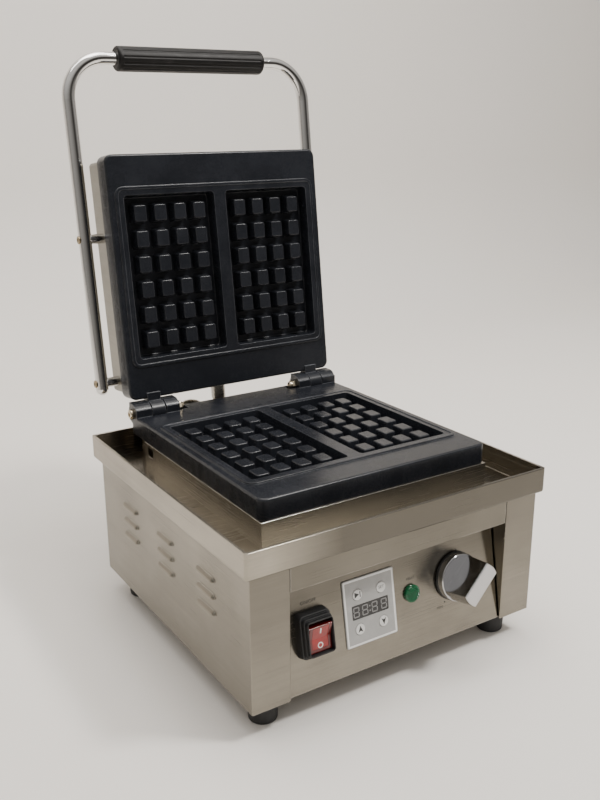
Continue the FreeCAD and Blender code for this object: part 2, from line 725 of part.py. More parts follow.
def lower_plate():
    slab = face_up(mould_slab(PLATE_FRONT, PLATE_REAR, LOWER_T))
    # each knuckle pair stands on the slab's rear edge, with a pocket between for the lid's knuckle
    pair = [base_knuckle(KNUCKLE_MID + KNUCKLE_GAP, KNUCKLE_OUTER), base_knuckle(KNUCKLE_END, KNUCKLE_INNER)]
    pair = pair + [mirror_x(k) for k in pair]
    plate = fuse([slab] + pair)
    side = KNUCKLE_GAP / 2
    slot_w = KNUCKLE_MID + side - KNUCKLE_INNER
    slot = cyl(V(KNUCKLE_INNER + side, HINGE_Y, HINGE_Z), X, 2 * (KNUCKLE_R + 0.8), slot_w)
    bore = hinge_bore(KNUCKLE_END - 1, KNUCKLE_OUTER + 1)
    nut_pocket = cyl(V(KNUCKLE_END - NUT_POCKET_L, HINGE_Y, HINGE_Z), X, NUT_AF + 4.5, NUT_POCKET_L)
    cuts = both_sides(slot) + both_sides(bore) + both_sides(nut_pocket)
    cuts += [screw_hole(p, Z, PLATE_SCREW_L - 1) for p in PLATE_SCREWS]
    cuts += [screw_hole(p, Z, CLAMP_SCREW_L - 1) for p in LOWER_CLAMP_SCREWS]
    return cut(plate, cuts)


# heating elements are clamped to the back of each plate, centred on the cavities
ELEMENT_Z = PLATE_BOTTOM - HEATER_D / 2
CLAMP_Z = PLATE_BOTTOM - HEATER_D
CLAMP_SCREW_L = HEATER_D + CLAMP_SHEET + 4
CLAMP_SPOTS = [(-2 * HEATER_SPREAD, -45.0), (2 * HEATER_SPREAD, -45.0), (0.0, -42.0), (0.0, 45.0)]
LOWER_CLAMP_SCREWS = [V(x, CAVITY_Y + dy, CLAMP_Z - CLAMP_SHEET) for x, dy in CLAMP_SPOTS]
UPPER_CLAMP = UPPER_BACK + HEATER_D
UPPER_CLAMP_SCREWS = [V(x, CAVITY_Y + dy, UPPER_CLAMP + CLAMP_SHEET) for x, dy in CLAMP_SPOTS]
add("lower_plate", lower_plate())
add("lower_pips", [face_up(p) for p in pips()])


def upper_knuckle(x0, x1):
    r = KNUCKLE_R
    barrel = cyl(V(x0, HINGE_Y, HINGE_Z), X, 2 * r, x1 - x0)
    arm = box(x0, x1, from_hinge(LID_PLATE_START + 6), HINGE_Y, HINGE_Z, HINGE_Z + r)
    return fuse([barrel, arm])


STUD_INSET = 14.0
STUD_YS = (from_hinge(COVER_END - STUD_INSET), CAVITY_Y, from_hinge(COVER_START + STUD_INSET))
COVER_STUDS = [V(sx * (COVER_W / 2 - STUD_INSET + 2), y, UPPER_BACK) for sx in (-1, 1) for y in STUD_YS]
STUD_D = 9.0
UPPER_BLIND = 8.0


def upper_plate():
    slab = face_down(mould_slab(PLATE_FRONT, from_hinge(LID_PLATE_START), UPPER_T))
    knuckle = upper_knuckle(KNUCKLE_INNER + KNUCKLE_GAP, KNUCKLE_MID)
    plate = fuse([slab] + both_sides(knuckle))
    bore = hinge_bore(KNUCKLE_INNER - 1, KNUCKLE_MID + 2)
    cuts = both_sides(bore)
    cuts += [screw_hole(p, -Z, CLAMP_SCREW_L - 1) for p in UPPER_CLAMP_SCREWS]
    cuts += [cyl(p - Z * UPPER_BLIND, Z, SCREW_D + 0.2, UPPER_BLIND + 1) for p in COVER_STUDS]
    return cut(plate, cuts)


add("upper_plate", opened(upper_plate()))
add("upper_pips", [opened(face_down(p)) for p in pips()])


# ---------------------------------------------------------------- heating
def heater(z, lead):
    """A tubular element of four legs, with both ends turned away from the plate by the signed lead."""
    s = HEATER_SPREAD
    front, back = CAVITY_Y - HEATER_HALF, CAVITY_Y + HEATER_HALF
    end = back + 30.0
    pts = [
        V(-3 * s, end, z + lead), V(-3 * s, end, z), V(-3 * s, front, z), V(-s, front, z), V(-s, back, z),
        V(s, back, z), V(s, front, z), V(3 * s, front, z), V(3 * s, end, z), V(3 * s, end, z + lead),
    ]
    return tube_along(pts, HEATER_D, 9.0)[0]


CUTOUT_AT = (-2 * HEATER_SPREAD, CAVITY_Y)


def clamp_plate(z0, screws, into):
    hx, hy = CLAMP_HALF
    plate = round_box(2 * hx, 2 * hy, 6.0, z0, z0 + CLAMP_SHEET, 0, CAVITY_Y)
    hole = cyl(V(*CUTOUT_AT, z0 - 1), Z, 30.0, CLAMP_SHEET + 2)
    return cut(plate, [screw_hole(p, into, 12.0) for p in screws] + [hole])


def pad(half_w, half_l, z0, z1):
    return round_box(2 * half_w, 2 * half_l, 4.0, z0, z1, 0, CAVITY_Y)


add("lower_heater", heater(ELEMENT_Z, -14.0))
add("lower_heater_clamp", clamp_plate(CLAMP_Z - CLAMP_SHEET, LOWER_CLAMP_SCREWS, Z))
add("lower_clamp_screws", [screw(p, Z, CLAMP_SCREW_L) for p in LOWER_CLAMP_SCREWS])
lower_pad_top = CLAMP_Z - CLAMP_SHEET - SCREW_HEAD_H - PAD_GAP
add("lower_insulation", pad(*PAD_HALF, TRAY_FLOOR, lower_pad_top))

add("upper_heater", opened(heater(UPPER_BACK + HEATER_D / 2, 12.0)))
add("upper_heater_clamp", opened(clamp_plate(UPPER_CLAMP, UPPER_CLAMP_SCREWS, -Z)))
add("upper_clamp_screws", [opened(screw(p, -Z, CLAMP_SCREW_L)) for p in UPPER_CLAMP_SCREWS])
upper_pad_z = UPPER_CLAMP + CLAMP_SHEET + SCREW_HEAD_H + PAD_GAP
upper_pad = pad(PAD_HALF[0] - 13, PAD_HALF[1] - 7, upper_pad_z, upper_pad_z + UPPER_PAD_T)
add("upper_insulation", opened(upper_pad))

# ---------------------------------------------------------------- lid cover and handle
COVER_MID = (from_hinge(COVER_START) + from_hinge(COVER_END)) / 2
COVER_L = COVER_END - COVER_START
HANDLE_HOLES = [V(COVER_W / 2, from_hinge(u), HANDLE_Z) for u in STANDOFFS_AT]


def lid_cover():
    z0, z1 = UPPER_BACK, COVER_BACK
    outer = round_box(COVER_W, COVER_L, COVER_CORNER, z0, z1, 0, COVER_MID)
    outer = fillet_where(outer, 3.0, at_height(z1))
    inner = round_box(COVER_W - 2 * COVER_SHEET, COVER_L - 2 * COVER_SHEET, COVER_CORNER - COVER_SHEET,
                      z0 - 1, z1 - COVER_SHEET, 0, COVER_MID)
    inner = fillet_where(inner, 2.0, at_height(z1 - COVER_SHEET))
    holes = [screw_hole(V(p.x, p.y, z1), -Z, 3.0) for p in COVER_STUDS]
    for at in HANDLE_HOLES:
        holes += both_sides(cyl(at - X * 4, X, HANDLE_SCREW_D + 0.2, 8))
    holes.append(cyl(V(CONDUIT_X, from_hinge(COVER_START) - 4, HANDLE_Z), Y, FERRULE_NECK_D + 0.4, 8))
    return cut(outer, [inner] + holes)


add("lid_cover", opened(lid_cover()))
stud_top = COVER_BACK - COVER_SHEET


def cover_stud(p):
    post = cyl(p, Z, STUD_D, stud_top - p.z)
    pin = cyl(p - Z * (UPPER_BLIND - 1), Z, SCREW_D, UPPER_BLIND - 1)
    bore = cyl(V(p.x, p.y, stud_top - 9), Z, SCREW_D + 0.2, 10)
    return cut(fuse([post, pin]), [bore])


add("cover_studs", [opened(cover_stud(p)) for p in COVER_STUDS])
add("cover_screws", [opened(screw(V(p.x, p.y, COVER_BACK), -Z, SCREW_L)) for p in COVER_STUDS])


def handle_tube():
    x, y_end = HANDLE_X, from_hinge(HANDLE_REACH)
    y_start = from_hinge(HANDLE_START)
    pts = [V(-x, y_start, HANDLE_Z), V(-x, y_end, HANDLE_Z), V(x, y_end, HANDLE_Z), V(x, y_start, HANDLE_Z)]
    tube = tube_along(pts, HANDLE_D, HANDLE_BEND, HANDLE_D - 2 * HANDLE_WALL)[0]
    caps = []
    for sx in (-1, 1):
        ball = Part.makeSphere(HANDLE_D / 2, V(sx * x, y_start, HANDLE_Z))
        half = box(sx * x - HANDLE_D, sx * x + HANDLE_D, y_start, y_start + HANDLE_D,
                   HANDLE_Z - HANDLE_D, HANDLE_Z + HANDLE_D)
        caps.append(ball.common(half))
    tube = fuse([tube] + caps)
    holes = []
    for at in HANDLE_HOLES:
        holes += both_sides(cyl(V(x - HANDLE_D, at.y, at.z), X, HANDLE_SCREW_D + 0.2, 2 * HANDLE_D))
    return cut(tube, holes)


def standoff(at):
    post = cyl(at, X, STANDOFF_D, HANDLE_X - at.x)
    saddle = cyl(V(HANDLE_X, at.y - 20, at.z), Y, HANDLE_D, 40)
    bore = cyl(at - X, X, HANDLE_SCREW_D + 0.2, 40)
    return cut(post, [saddle, bore])


def handle_screw(at):
    seat = V(HANDLE_X + HANDLE_D / 2 - HANDLE_SCREW_SADDLE, at.y, at.z)
    length = seat.x - at.x + 6
    tube = cyl(V(HANDLE_X, at.y - 20, at.z), Y, HANDLE_D, 40)
    head = cut(screw(seat, -X, length, HANDLE_SCREW_D, 8.0, 1.6), [tube])
    return fuse(head.Solids + [cyl(seat, -X, HANDLE_SCREW_D, length)])


add("handle_tube", opened(handle_tube()))
add("handle_standoffs", [opened(s) for at in HANDLE_HOLES for s in both_sides(standoff(at))])
add("handle_screws", [opened(s) for at in HANDLE_HOLES for s in both_sides(handle_screw(at))])


def handle_grip():
    y = from_hinge(HANDLE_REACH)
    body = cyl(V(-GRIP_HALF, y, HANDLE_Z), X, GRIP_D, 2 * GRIP_HALF)
    body = body.makeFillet(3.0, [e for e in body.Edges if e.Closed and e.BoundBox.XLength < 0.01])
    flute_d, flute_depth, end = 3.4, 0.7, 5.0
    flutes = []
    for i in range(GRIP_FLUTES):
        a = 2 * math.pi * i / GRIP_FLUTES
        r = GRIP_D / 2 + flute_d / 2 - flute_depth
        at = V(-GRIP_HALF + end, y + r * math.cos(a), HANDLE_Z + r * math.sin(a))
        flutes.append(cyl(at, X, flute_d, 2 * (GRIP_HALF - end)))
    bore = cyl(V(-GRIP_HALF - 1, y, HANDLE_Z), X, HANDLE_D + 0.2, 2 * GRIP_HALF + 2)
    return cut(body, flutes + [bore])


add("handle_grip", opened(handle_grip()))

# ---------------------------------------------------------------- hinge fasteners
def hinge_bolt():
    shank_end = KNUCKLE_END - NUT_H
    seat = V(KNUCKLE_OUTER, HINGE_Y, HINGE_Z)
    return screw(seat, -X, KNUCKLE_OUTER - shank_end, BOLT_D, BOLT_HEAD_D, BOLT_HEAD_H)


def dome_nut():
    at = V(KNUCKLE_END, HINGE_Y, HINGE_Z)
    body = prism(hexagon(at, Y, Z, NUT_AF / math.cos(math.pi / 6)), -X * NUT_H)
    dome_r = NUT_AF * 0.45
    dome = Part.makeSphere(dome_r, at - X * NUT_H).common(
        box(at.x - NUT_H - 2 * dome_r, at.x - NUT_H, at.y - 20, at.y + 20, at.z - 20, at.z + 20))
    bore = cyl(at + X, -X, BOLT_D + 0.1, NUT_H + 1)
    return cut(fuse([body, dome]), [bore])


add("hinge_bolts", both_sides(hinge_bolt()))
add("hinge_nuts", both_sides(dome_nut()))


# ---------------------------------------------------------------- switch
def switch_parts():
    x, y = SWITCH_AT
    ring_w, ring_l, ring_h = SWITCH_HOLE_W + 2.4, SWITCH_HOLE_L + 3.0, 6.0
    swing = ROCKER_L / 2 + 1.9
    opening = (ROCKER_W + 0.6, 2 * swing)
    back = -28.0
    body = round_box(SWITCH_HOLE_W - 0.4, SWITCH_HOLE_L - 0.4, 1.0, back, 0, x, y)
    ring = round_box(ring_w, ring_l, 1.5, 0, ring_h, x, y)
    well = round_box(*opening, 0.8, -9.0, ring_h + 1, x, y)
    pin_hole = cyl(V(x - 20, y, ROCKER_PIVOT_H), X, ROCKER_PIN_D + 2 * RUN, 40)
    tabs = [box(x - 3, x + 3, y + dy - 0.4, y + dy + 0.4, back - 8, back) for dy in (-9.0, 0.0, 9.0)]
    case = cut(fuse([body, ring] + tabs), [well, pin_hole])
    rim = (opening[0] + 0.4 + 2 * BOOT_RIM, opening[1] + 2 * BOOT_RIM)
    skirt = frustum((BOOT_W, BOOT_L), (BOOT_W - 1.4, BOOT_L - 1.8), 4.0, 0, BOOT_STEPS[0], x, y)
    collar = frustum((rim[0] + 2.6, rim[1] + 4.0), (rim[0] + 2.0, rim[1] + 3.2), 3.6, 0, BOOT_STEPS[1], x, y)
    hood = frustum((rim[0] + 0.8, rim[1] + 0.8), rim, 3.2, 0, BOOT_H, x, y)
    skirt = fillet_where(skirt, 0.9, at_height(BOOT_STEPS[0]))
    collar = fillet_where(collar, 0.7, at_height(BOOT_STEPS[1]))
    boot = fuse([skirt, collar, fillet_where(hood, 0.5, at_height(BOOT_H))])
    seat = round_box(ring_w, ring_l, 1.5, -1, ring_h, x, y)
    mouth = round_box(opening[0] + 0.4, opening[1], 1.2, 0, BOOT_H + 1, x, y)
    boot = cut(boot, [seat, mouth])
    half, rise, tip = ROCKER_L / 2, 8.0, 10.2
    outline = [
        V(0, -half, tip), V(0, 0, rise), V(0, half, tip), V(0, half - 1.0, 1.0), V(0, 5.0, -3.0),
        V(0, -5.0, -3.0), V(0, -half + 1.0, 1.0),
    ]
    rocker = prism([p - X * ROCKER_W / 2 for p in outline], X * ROCKER_W)
    pressed = edges_where(rocker, lambda e: e.CenterOfMass.z > rise - 0.1)
    rocker = rocker.makeFillet(0.7, pressed)
    pin_len = ring_w - 0.4
    rocker = fuse([rocker, cyl(V(-pin_len / 2, 0, 0), X, ROCKER_PIN_D, pin_len)])
    rocker.rotate(V(0, 0, 0), X, ROCKER_TILT)
    rocker.translate(V(x, y, ROCKER_PIVOT_H))
    return case, boot, rocker


switch_body, switch_boot, rocker = switch_parts()
add("switch_body", in_panel(switch_body))
add("switch_boot", in_panel(switch_boot))
add("rocker", in_panel(rocker))


# ---------------------------------------------------------------- timer
def key_places():
    x, y = TIMER_AT
    dx, dy = KEY_SPREAD
    return {"key_start": V(x - dx, y + dy, 0), "key_mode": V(x + dx, y + dy, 0),
            "key_up": V(x - dx, y - dy, 0), "key_down": V(x + dx, y - dy, 0)}


def timer_parts():
    x, y = TIMER_AT
    bezel = round_box(BEZEL_W, BEZEL_L, BEZEL_CORNER, 0, BEZEL_T, x, y)
    bezel = fillet_where(bezel, 0.4, at_height(BEZEL_T))
    holes = [cyl(p - Z, Z, KEY_D + 2 * FIT, BEZEL_T + 2) for p in key_places().values()]
    window_hole = round_box(WINDOW_W, WINDOW_L, 1.0, -1, BEZEL_T + 1, x, y)
    bezel = cut(bezel, holes + [window_hole])
    window = round_box(WINDOW_W - 0.1, WINDOW_L - 0.1, 0.95, 0, BEZEL_T - 0.2, x, y)
    wall = 1.6
    case = cut(round_box(CASE_W, CASE_L, 1.5, -CASE_DEPTH, 0, x, y),
               [round_box(CASE_W - 2 * wall, CASE_L - 2 * wall, 1.0, -CASE_DEPTH + wall, 1, x, y)])
    board_back = -BOARD_DEPTH - 1.6
    board = round_box(CASE_W - 2 * wall - 0.4, CASE_L - 2 * wall - 0.4, 0.8, board_back, -BOARD_DEPTH, x, y)
    posts = [cyl(V(x + sx * 18, y + sy * 21, -CASE_DEPTH + wall), Z, 5.0, board_back + CASE_DEPTH - wall)
             for sx in (-1, 1) for sy in (-1, 1)]
    buttons = []
    for p in key_places().values():
        buttons += [box(p.x - 3, p.x + 3, p.y - 3, p.y + 3, -BOARD_DEPTH, -BOARD_DEPTH + 3),
                    cyl(V(p.x, p.y, -BOARD_DEPTH + 3), Z, 3.4, 0.6)]
    display = box(x - WINDOW_W / 2 + 1, x + WINDOW_W / 2 - 1, y - WINDOW_L / 2 - 1.2, y + WINDOW_L / 2 + 1.2,
                  -BOARD_DEPTH, 0)
    return bezel, window, fuse([case] + posts), fuse([board] + buttons), display


def timer_key(p):
    foot_z = -1.0
    cap = cyl(V(p.x, p.y, foot_z), Z, KEY_D, BEZEL_T + KEY_PROUD - foot_z)
    cap = fillet_where(cap, 0.5, at_height(BEZEL_T + KEY_PROUD))
    stem_foot = -BOARD_DEPTH + 3.6 + KEY_TRAVEL + 0.1
    return fuse([cap, cyl(V(p.x, p.y, stem_foot), Z, 4.0, foot_z - stem_foot)])


timer_names = ("timer_bezel", "timer_window", "timer_case", "timer_board", "display_module")
for name, shape in zip(timer_names, timer_parts()):
    add(name, in_panel(shape))
for name, place in key_places().items():
    add(name, in_panel(timer_key(place)))


# ---------------------------------------------------------------- lamp
def lamp_parts():
    at = V(*LAMP_AT, 0)
    flange = cyl(at, Z, LAMP_D, 1.6)
    dome_r = LAMP_D * 0.72
    dome_w = LAMP_D * 0.44
    sink = math.sqrt(dome_r ** 2 - dome_w ** 2)
    cap = Part.makeSphere(dome_r, at + Z * (1.6 - sink)).common(cyl(at + Z * 1.6, Z, 2 * dome_w, dome_r))
    lens = fuse([flange, cap])
    barrel = cyl(at - Z * 24, Z, LAMP_BARREL_D, 24)
    nut_at = at - Z * (SHEET + 4.0)
    nut = prism(hexagon(nut_at, X, Y, 18.0), Z * 4)
    tabs = [box(at.x + dx - 0.4, at.x + dx + 0.4, at.y - 1.5, at.y + 1.5, -32, -24) for dx in (-3.0, 3.0)]
    return lens, fuse([barrel, nut] + tabs)


lens, lamp_body = lamp_parts()
add("lamp_lens", in_panel(lens))
add("lamp_body", in_panel(lamp_body))


# ---------------------------------------------------------------- thermostat and knob
def knob_parts():
    core_z, core_t = 0.6, 2.0
    shell_z = core_z + core_t
    face_z = shell_z + SKIRT_H
    hub_d, hub_top, socket_top = 10.0, 20.0, 17.0
    disc = cyl(V(0, 0, core_z), Z, KNOB_D + 1.0, core_t)
    core = fuse([disc, cyl(V(0, 0, core_z), Z, hub_d, hub_top - core_z)])
    core = cut(core, [cyl(V(0, 0, 0), Z, SHAFT_D + 0.1, socket_top)])
    skirt = cyl(V(0, 0, shell_z), Z, KNOB_D, SKIRT_H)
    skirt = fillet_where(skirt, 1.2, at_height(face_z))
    hl, hw = GRIP_BAR_L / 2, GRIP_BAR_W / 2
    bar = box(-hl, hl, -hw, hw, face_z - 1, KNOB_H)
    bar_h = KNOB_H - face_z + 1
    round_ends = Part.makeCone(KNOB_D / 2 - 0.8, GRIP_BAR_L / 2 - 1.2, bar_h, V(0, 0, face_z - 1))
    bar = bar.common(round_ends)
    bar = fillet_where(bar, 0.8, at_height(KNOB_H))
    shell = cut(fuse([skirt, bar]), [cyl(V(0, 0, 0), Z, hub_d + 0.2, hub_top + 0.2)])
    shaft = cyl(V(0, 0, -14.0), Z, SHAFT_D, socket_top + 13.5)
    out = []
    for shape in (core, shell, shaft):
        turned = shape.copy()
        turned.rotate(V(0, 0, 0), Z, KNOB_POINTS_DEG)
        turned.translate(V(*KNOB_AT, 0))
        out.append(turned)
    return out


knob_core, knob_shell, knob_shaft = knob_parts()
add("knob_core", in_panel(knob_core))
add("knob_shell", in_panel(knob_shell))
add("knob_shaft", in_panel(knob_shaft))


def thermostat():
    x, y = KNOB_AT
    body = round_box(34.0, 40.0, 3.0, -26.0, -SHEET, x, y)
    ear = round_box(44.0, 16.0, 3.0, -SHEET - 2.0, -SHEET, x, y)
    bore = cyl(V(x, y, -16.0), Z, SHAFT_D + 2 * RUN, 20)
    tabs = [box(x + dx - 3, x + dx + 3, y + 6, y + 6.8, -34, -26) for dx in (-9.0, 9.0)]
    return cut(fuse([body, ear] + tabs), [bore])


add("thermostat", in_panel(thermostat()))

BULB_D = 6.0
BULB_L = 70.0
BULB_X = 2 * HEATER_SPREAD
BULB_REAR = CAVITY_Y + 86.0
CAPILLARY_D = 1.8
thermostat_back = PANEL_FOOT + PANEL_UP * KNOB_AT[1] - PANEL_OUT * 26.0 + X * KNOB_AT[0]
bulb_z = PLATE_BOTTOM - BULB_D / 2 - 0.2
capillary_points = [
    thermostat_back, thermostat_back - PANEL_OUT * 14, V(BULB_X + 6, -40, CAB_TOP - 33),
    V(BULB_X - 2, 50, CAB_TOP - 29), V(BULB_X, BULB_REAR + 16, CAB_TOP - 15),
    V(BULB_X, BULB_REAR + 16, bulb_z),
    V(BULB_X, BULB_REAR, bulb_z),
]
capillary = tube_along(capillary_points, CAPILLARY_D, 7.0)[0]
bulb = cyl(V(BULB_X, BULB_REAR, bulb_z), -Y, BULB_D, BULB_L)
add("thermostat_bulb", fuse([capillary, bulb]))


def cutout():
    x, y = CUTOUT_AT
    cap = cyl(V(x, y, PLATE_BOTTOM - 6.5), Z, 16.0, 6.5)
    flange = round_box(24.0, 9.0, 4.4, PLATE_BOTTOM - 1.0, PLATE_BOTTOM, x, y)
    return fuse([cap, flange])


add("cutout_thermostat", cutout())

# ---------------------------------------------------------------- wiring inside
FLOOR_Z = FOOT_H + SHEET


def terminal_block():
    x0, y0, ways, pitch = 50.0, 100.0, 6, 10.0
    block = box(x0, x0 + ways * pitch, y0, y0 + 20, FLOOR_Z, FLOOR_Z + 17)
    wells = [cyl(V(x0 + (i + 0.5) * pitch, y0 + dy, FLOOR_Z + 8), Z, 6.0, 10)
             for i in range(ways) for dy in (5, 15)]
    return cut(block, wells)


def relay():
    case = round_box(36.0, 50.0, 2.0, FLOOR_Z, FLOOR_Z + 38, -80.0, 20.0)
    tabs = [box(-80 + dx - 3, -80 + dx + 3, 20 + dy - 0.4, 20 + dy + 0.4, FLOOR_Z + 38, FLOOR_Z + 46)
            for dx in (-10, 10) for dy in (-15, 15)]
    return fuse([case] + tabs)


add("terminal_block", terminal_block())
add("relay", relay())


def cable_gland():
    x, z = GLAND_AT
    at = V(x, CAB_REAR, z)
    collar = prism(hexagon(at, X, Z, 24.0), Y * 6)
    cap = Part.makeCone(10.0, 7.0, 14.0, at + Y * 6, Y)
    thread = cyl(at - Y * 10, Y, GLAND_THREAD_D, 10)
    nut_at = at - Y * (SHEET + 5)
    nut = prism(hexagon(nut_at, X, Z, 23.0), Y * 5)
    bore = cyl(at - Y * 11, Y, GLAND_BORE_D, 40)
    return cut(fuse([collar, cap, thread, nut]), [bore])


add("cable_gland", cable_gland())


# ---------------------------------------------------------------- lid conduit
def conduit_parts():
    # upper fitting, drawn with the lid shut: it leaves the cover's hinge side
    cover_y = from_hinge(COVER_START)
    ferrule = cyl(V(CONDUIT_X, cover_y, HANDLE_Z), Y, FERRULE_D, FERRULE_L)
    collar = cyl(V(CONDUIT_X, cover_y, HANDLE_Z), Y, FERRULE_D + 4, 4)
    neck = cyl(V(CONDUIT_X, cover_y - 8, HANDLE_Z), Y, FERRULE_NECK_D, 8)
    bore = cyl(V(CONDUIT_X, cover_y - 9, HANDLE_Z), Y, 7.0, FERRULE_L + 10)
    upper = opened(cut(fuse([ferrule, collar, neck]), [bore]))

    # lower fitting: an elbow from the rear panel, turning up
    r = ELBOW_BEND
    bend_y = CAB_REAR + 8
    bend = Part.makeTorus(r, ELBOW_D / 2, V(ELBOW_X, bend_y, ELBOW_Z + r), X)
    quarter = bend.common(box(ELBOW_X - 20, ELBOW_X + 20, bend_y, bend_y + 40, ELBOW_Z - 20, ELBOW_Z + r))
    foot_run = cyl(V(ELBOW_X, CAB_REAR, ELBOW_Z), Y, ELBOW_D, 8)
    base_ring = cyl(V(ELBOW_X, CAB_REAR, ELBOW_Z), Y, ELBOW_D + 6, 4)
    neck = cyl(V(ELBOW_X, CAB_REAR - 9, ELBOW_Z), Y, ELBOW_D - 3, 9)
    top_run = cyl(V(ELBOW_X, bend_y + r, ELBOW_Z + r), Z, ELBOW_D, 8)
    lower = fuse([quarter, foot_run, base_ring, neck, top_run])

    axis = V(0, HINGE_Y, HINGE_Z)
    end = opened(Part.Vertex(V(CONDUIT_X, cover_y + FERRULE_L, HANDLE_Z))).Vertexes[0].Point
    lid_up = opened(Part.Vertex(axis - Y)).Vertexes[0].Point - axis
    start = V(ELBOW_X, bend_y + r, ELBOW_Z + r + 8)
    route = [
        start, start + V(0, 0, 22), start + V(10, 0.9, 39.5), start + V(27, 2.0, 42.5),
        end + V(-15.5, -3.9, -18.5), end - lid_up * 11, end,
    ]
    hose, path, radii = tube_along(route, CONDUIT_D)
    print("conduit radii", radii, "length", round(path.Length, 1), "volume ratio",
          round(hose.Volume / (math.pi * CONDUIT_D ** 2 / 4 * path.Length), 4))
    return upper, lower, hose


upper_fitting, elbow_fitting, conduit = conduit_parts()
add("conduit_fitting", upper_fitting)
add("conduit_elbow", elbow_fitting)
add("conduit", conduit)

# ---------------------------------------------------------------- export
os.makedirs("parts", exist_ok=True)
whole = FreeCAD.BoundBox()
for name, solids in nodes.items():
    shape = solids[0] if len(solids) == 1 else Part.makeCompound(solids)
    whole.add(shape.BoundBox)
    bad = [i for i, s in enumerate(solids) if not s.isValid() or s.Volume <= 0]
    print(name, len(solids), round(shape.Volume / 1000, 2), "bad" if bad else "")
    shape.exportStep(os.path.join("parts", name + ".step"))
print("nodes", len(nodes), "box", whole)
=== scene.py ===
import json
import math

import bpy
from mathutils import Matrix, Vector
from mathutils.bvhtree import BVHTree


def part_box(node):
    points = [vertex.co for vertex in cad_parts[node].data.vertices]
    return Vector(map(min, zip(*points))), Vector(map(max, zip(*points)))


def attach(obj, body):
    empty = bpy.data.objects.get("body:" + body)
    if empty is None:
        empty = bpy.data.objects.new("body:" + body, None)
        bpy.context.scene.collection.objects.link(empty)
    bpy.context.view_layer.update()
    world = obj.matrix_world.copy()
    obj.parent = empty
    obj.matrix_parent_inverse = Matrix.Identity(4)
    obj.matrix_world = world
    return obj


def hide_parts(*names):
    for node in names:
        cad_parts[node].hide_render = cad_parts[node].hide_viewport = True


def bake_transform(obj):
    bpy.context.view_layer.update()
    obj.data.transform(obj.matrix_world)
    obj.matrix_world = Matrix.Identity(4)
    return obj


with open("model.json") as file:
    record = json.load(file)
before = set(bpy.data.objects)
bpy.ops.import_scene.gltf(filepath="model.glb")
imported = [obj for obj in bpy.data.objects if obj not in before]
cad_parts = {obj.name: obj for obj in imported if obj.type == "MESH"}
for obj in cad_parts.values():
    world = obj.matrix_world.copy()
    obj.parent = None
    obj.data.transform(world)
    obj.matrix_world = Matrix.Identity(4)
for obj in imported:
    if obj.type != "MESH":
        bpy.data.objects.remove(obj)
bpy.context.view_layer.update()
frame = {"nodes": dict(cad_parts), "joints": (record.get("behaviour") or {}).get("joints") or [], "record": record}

MM = 0.001
NODES = frame["nodes"]
JOINTS = {j["name"]: j for j in frame["joints"]}
SCENE = bpy.context.scene

# ---------------------------------------------------------------- camera
EYE = Vector((-0.4560, -0.7253, 0.4831))
TARGET = Vector((-0.0079, -0.0280, 0.2246))
ROLL_DEG = -0.24

camera = bpy.data.objects.new("camera", bpy.data.cameras.new("camera"))
camera.data.lens = 40.92
camera.data.sensor_width = 36.0
facing = (TARGET - EYE).to_track_quat("-Z", "Y").to_matrix()
turn = Matrix.Rotation(math.radians(ROLL_DEG), 3, "Z")
camera.matrix_world = Matrix.Translation(EYE) @ (facing @ turn).to_4x4()
SCENE.collection.objects.link(camera)
SCENE.camera = camera

# ---------------------------------------------------------------- the slanted panel's own directions
OUT = Vector(JOINTS["knob_turn"]["axis"])
ACROSS = Vector((1, 0, 0))
UP = OUT.cross(ACROSS)
KNOB_FOOT = Vector(JOINTS["knob_turn"]["pos_m"])


def centre(node):
    low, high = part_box(node)
    return (low + high) / 2


# ---------------------------------------------------------------- node-building helpers
def times(tone, factor):
    return tuple(c * factor for c in tone)


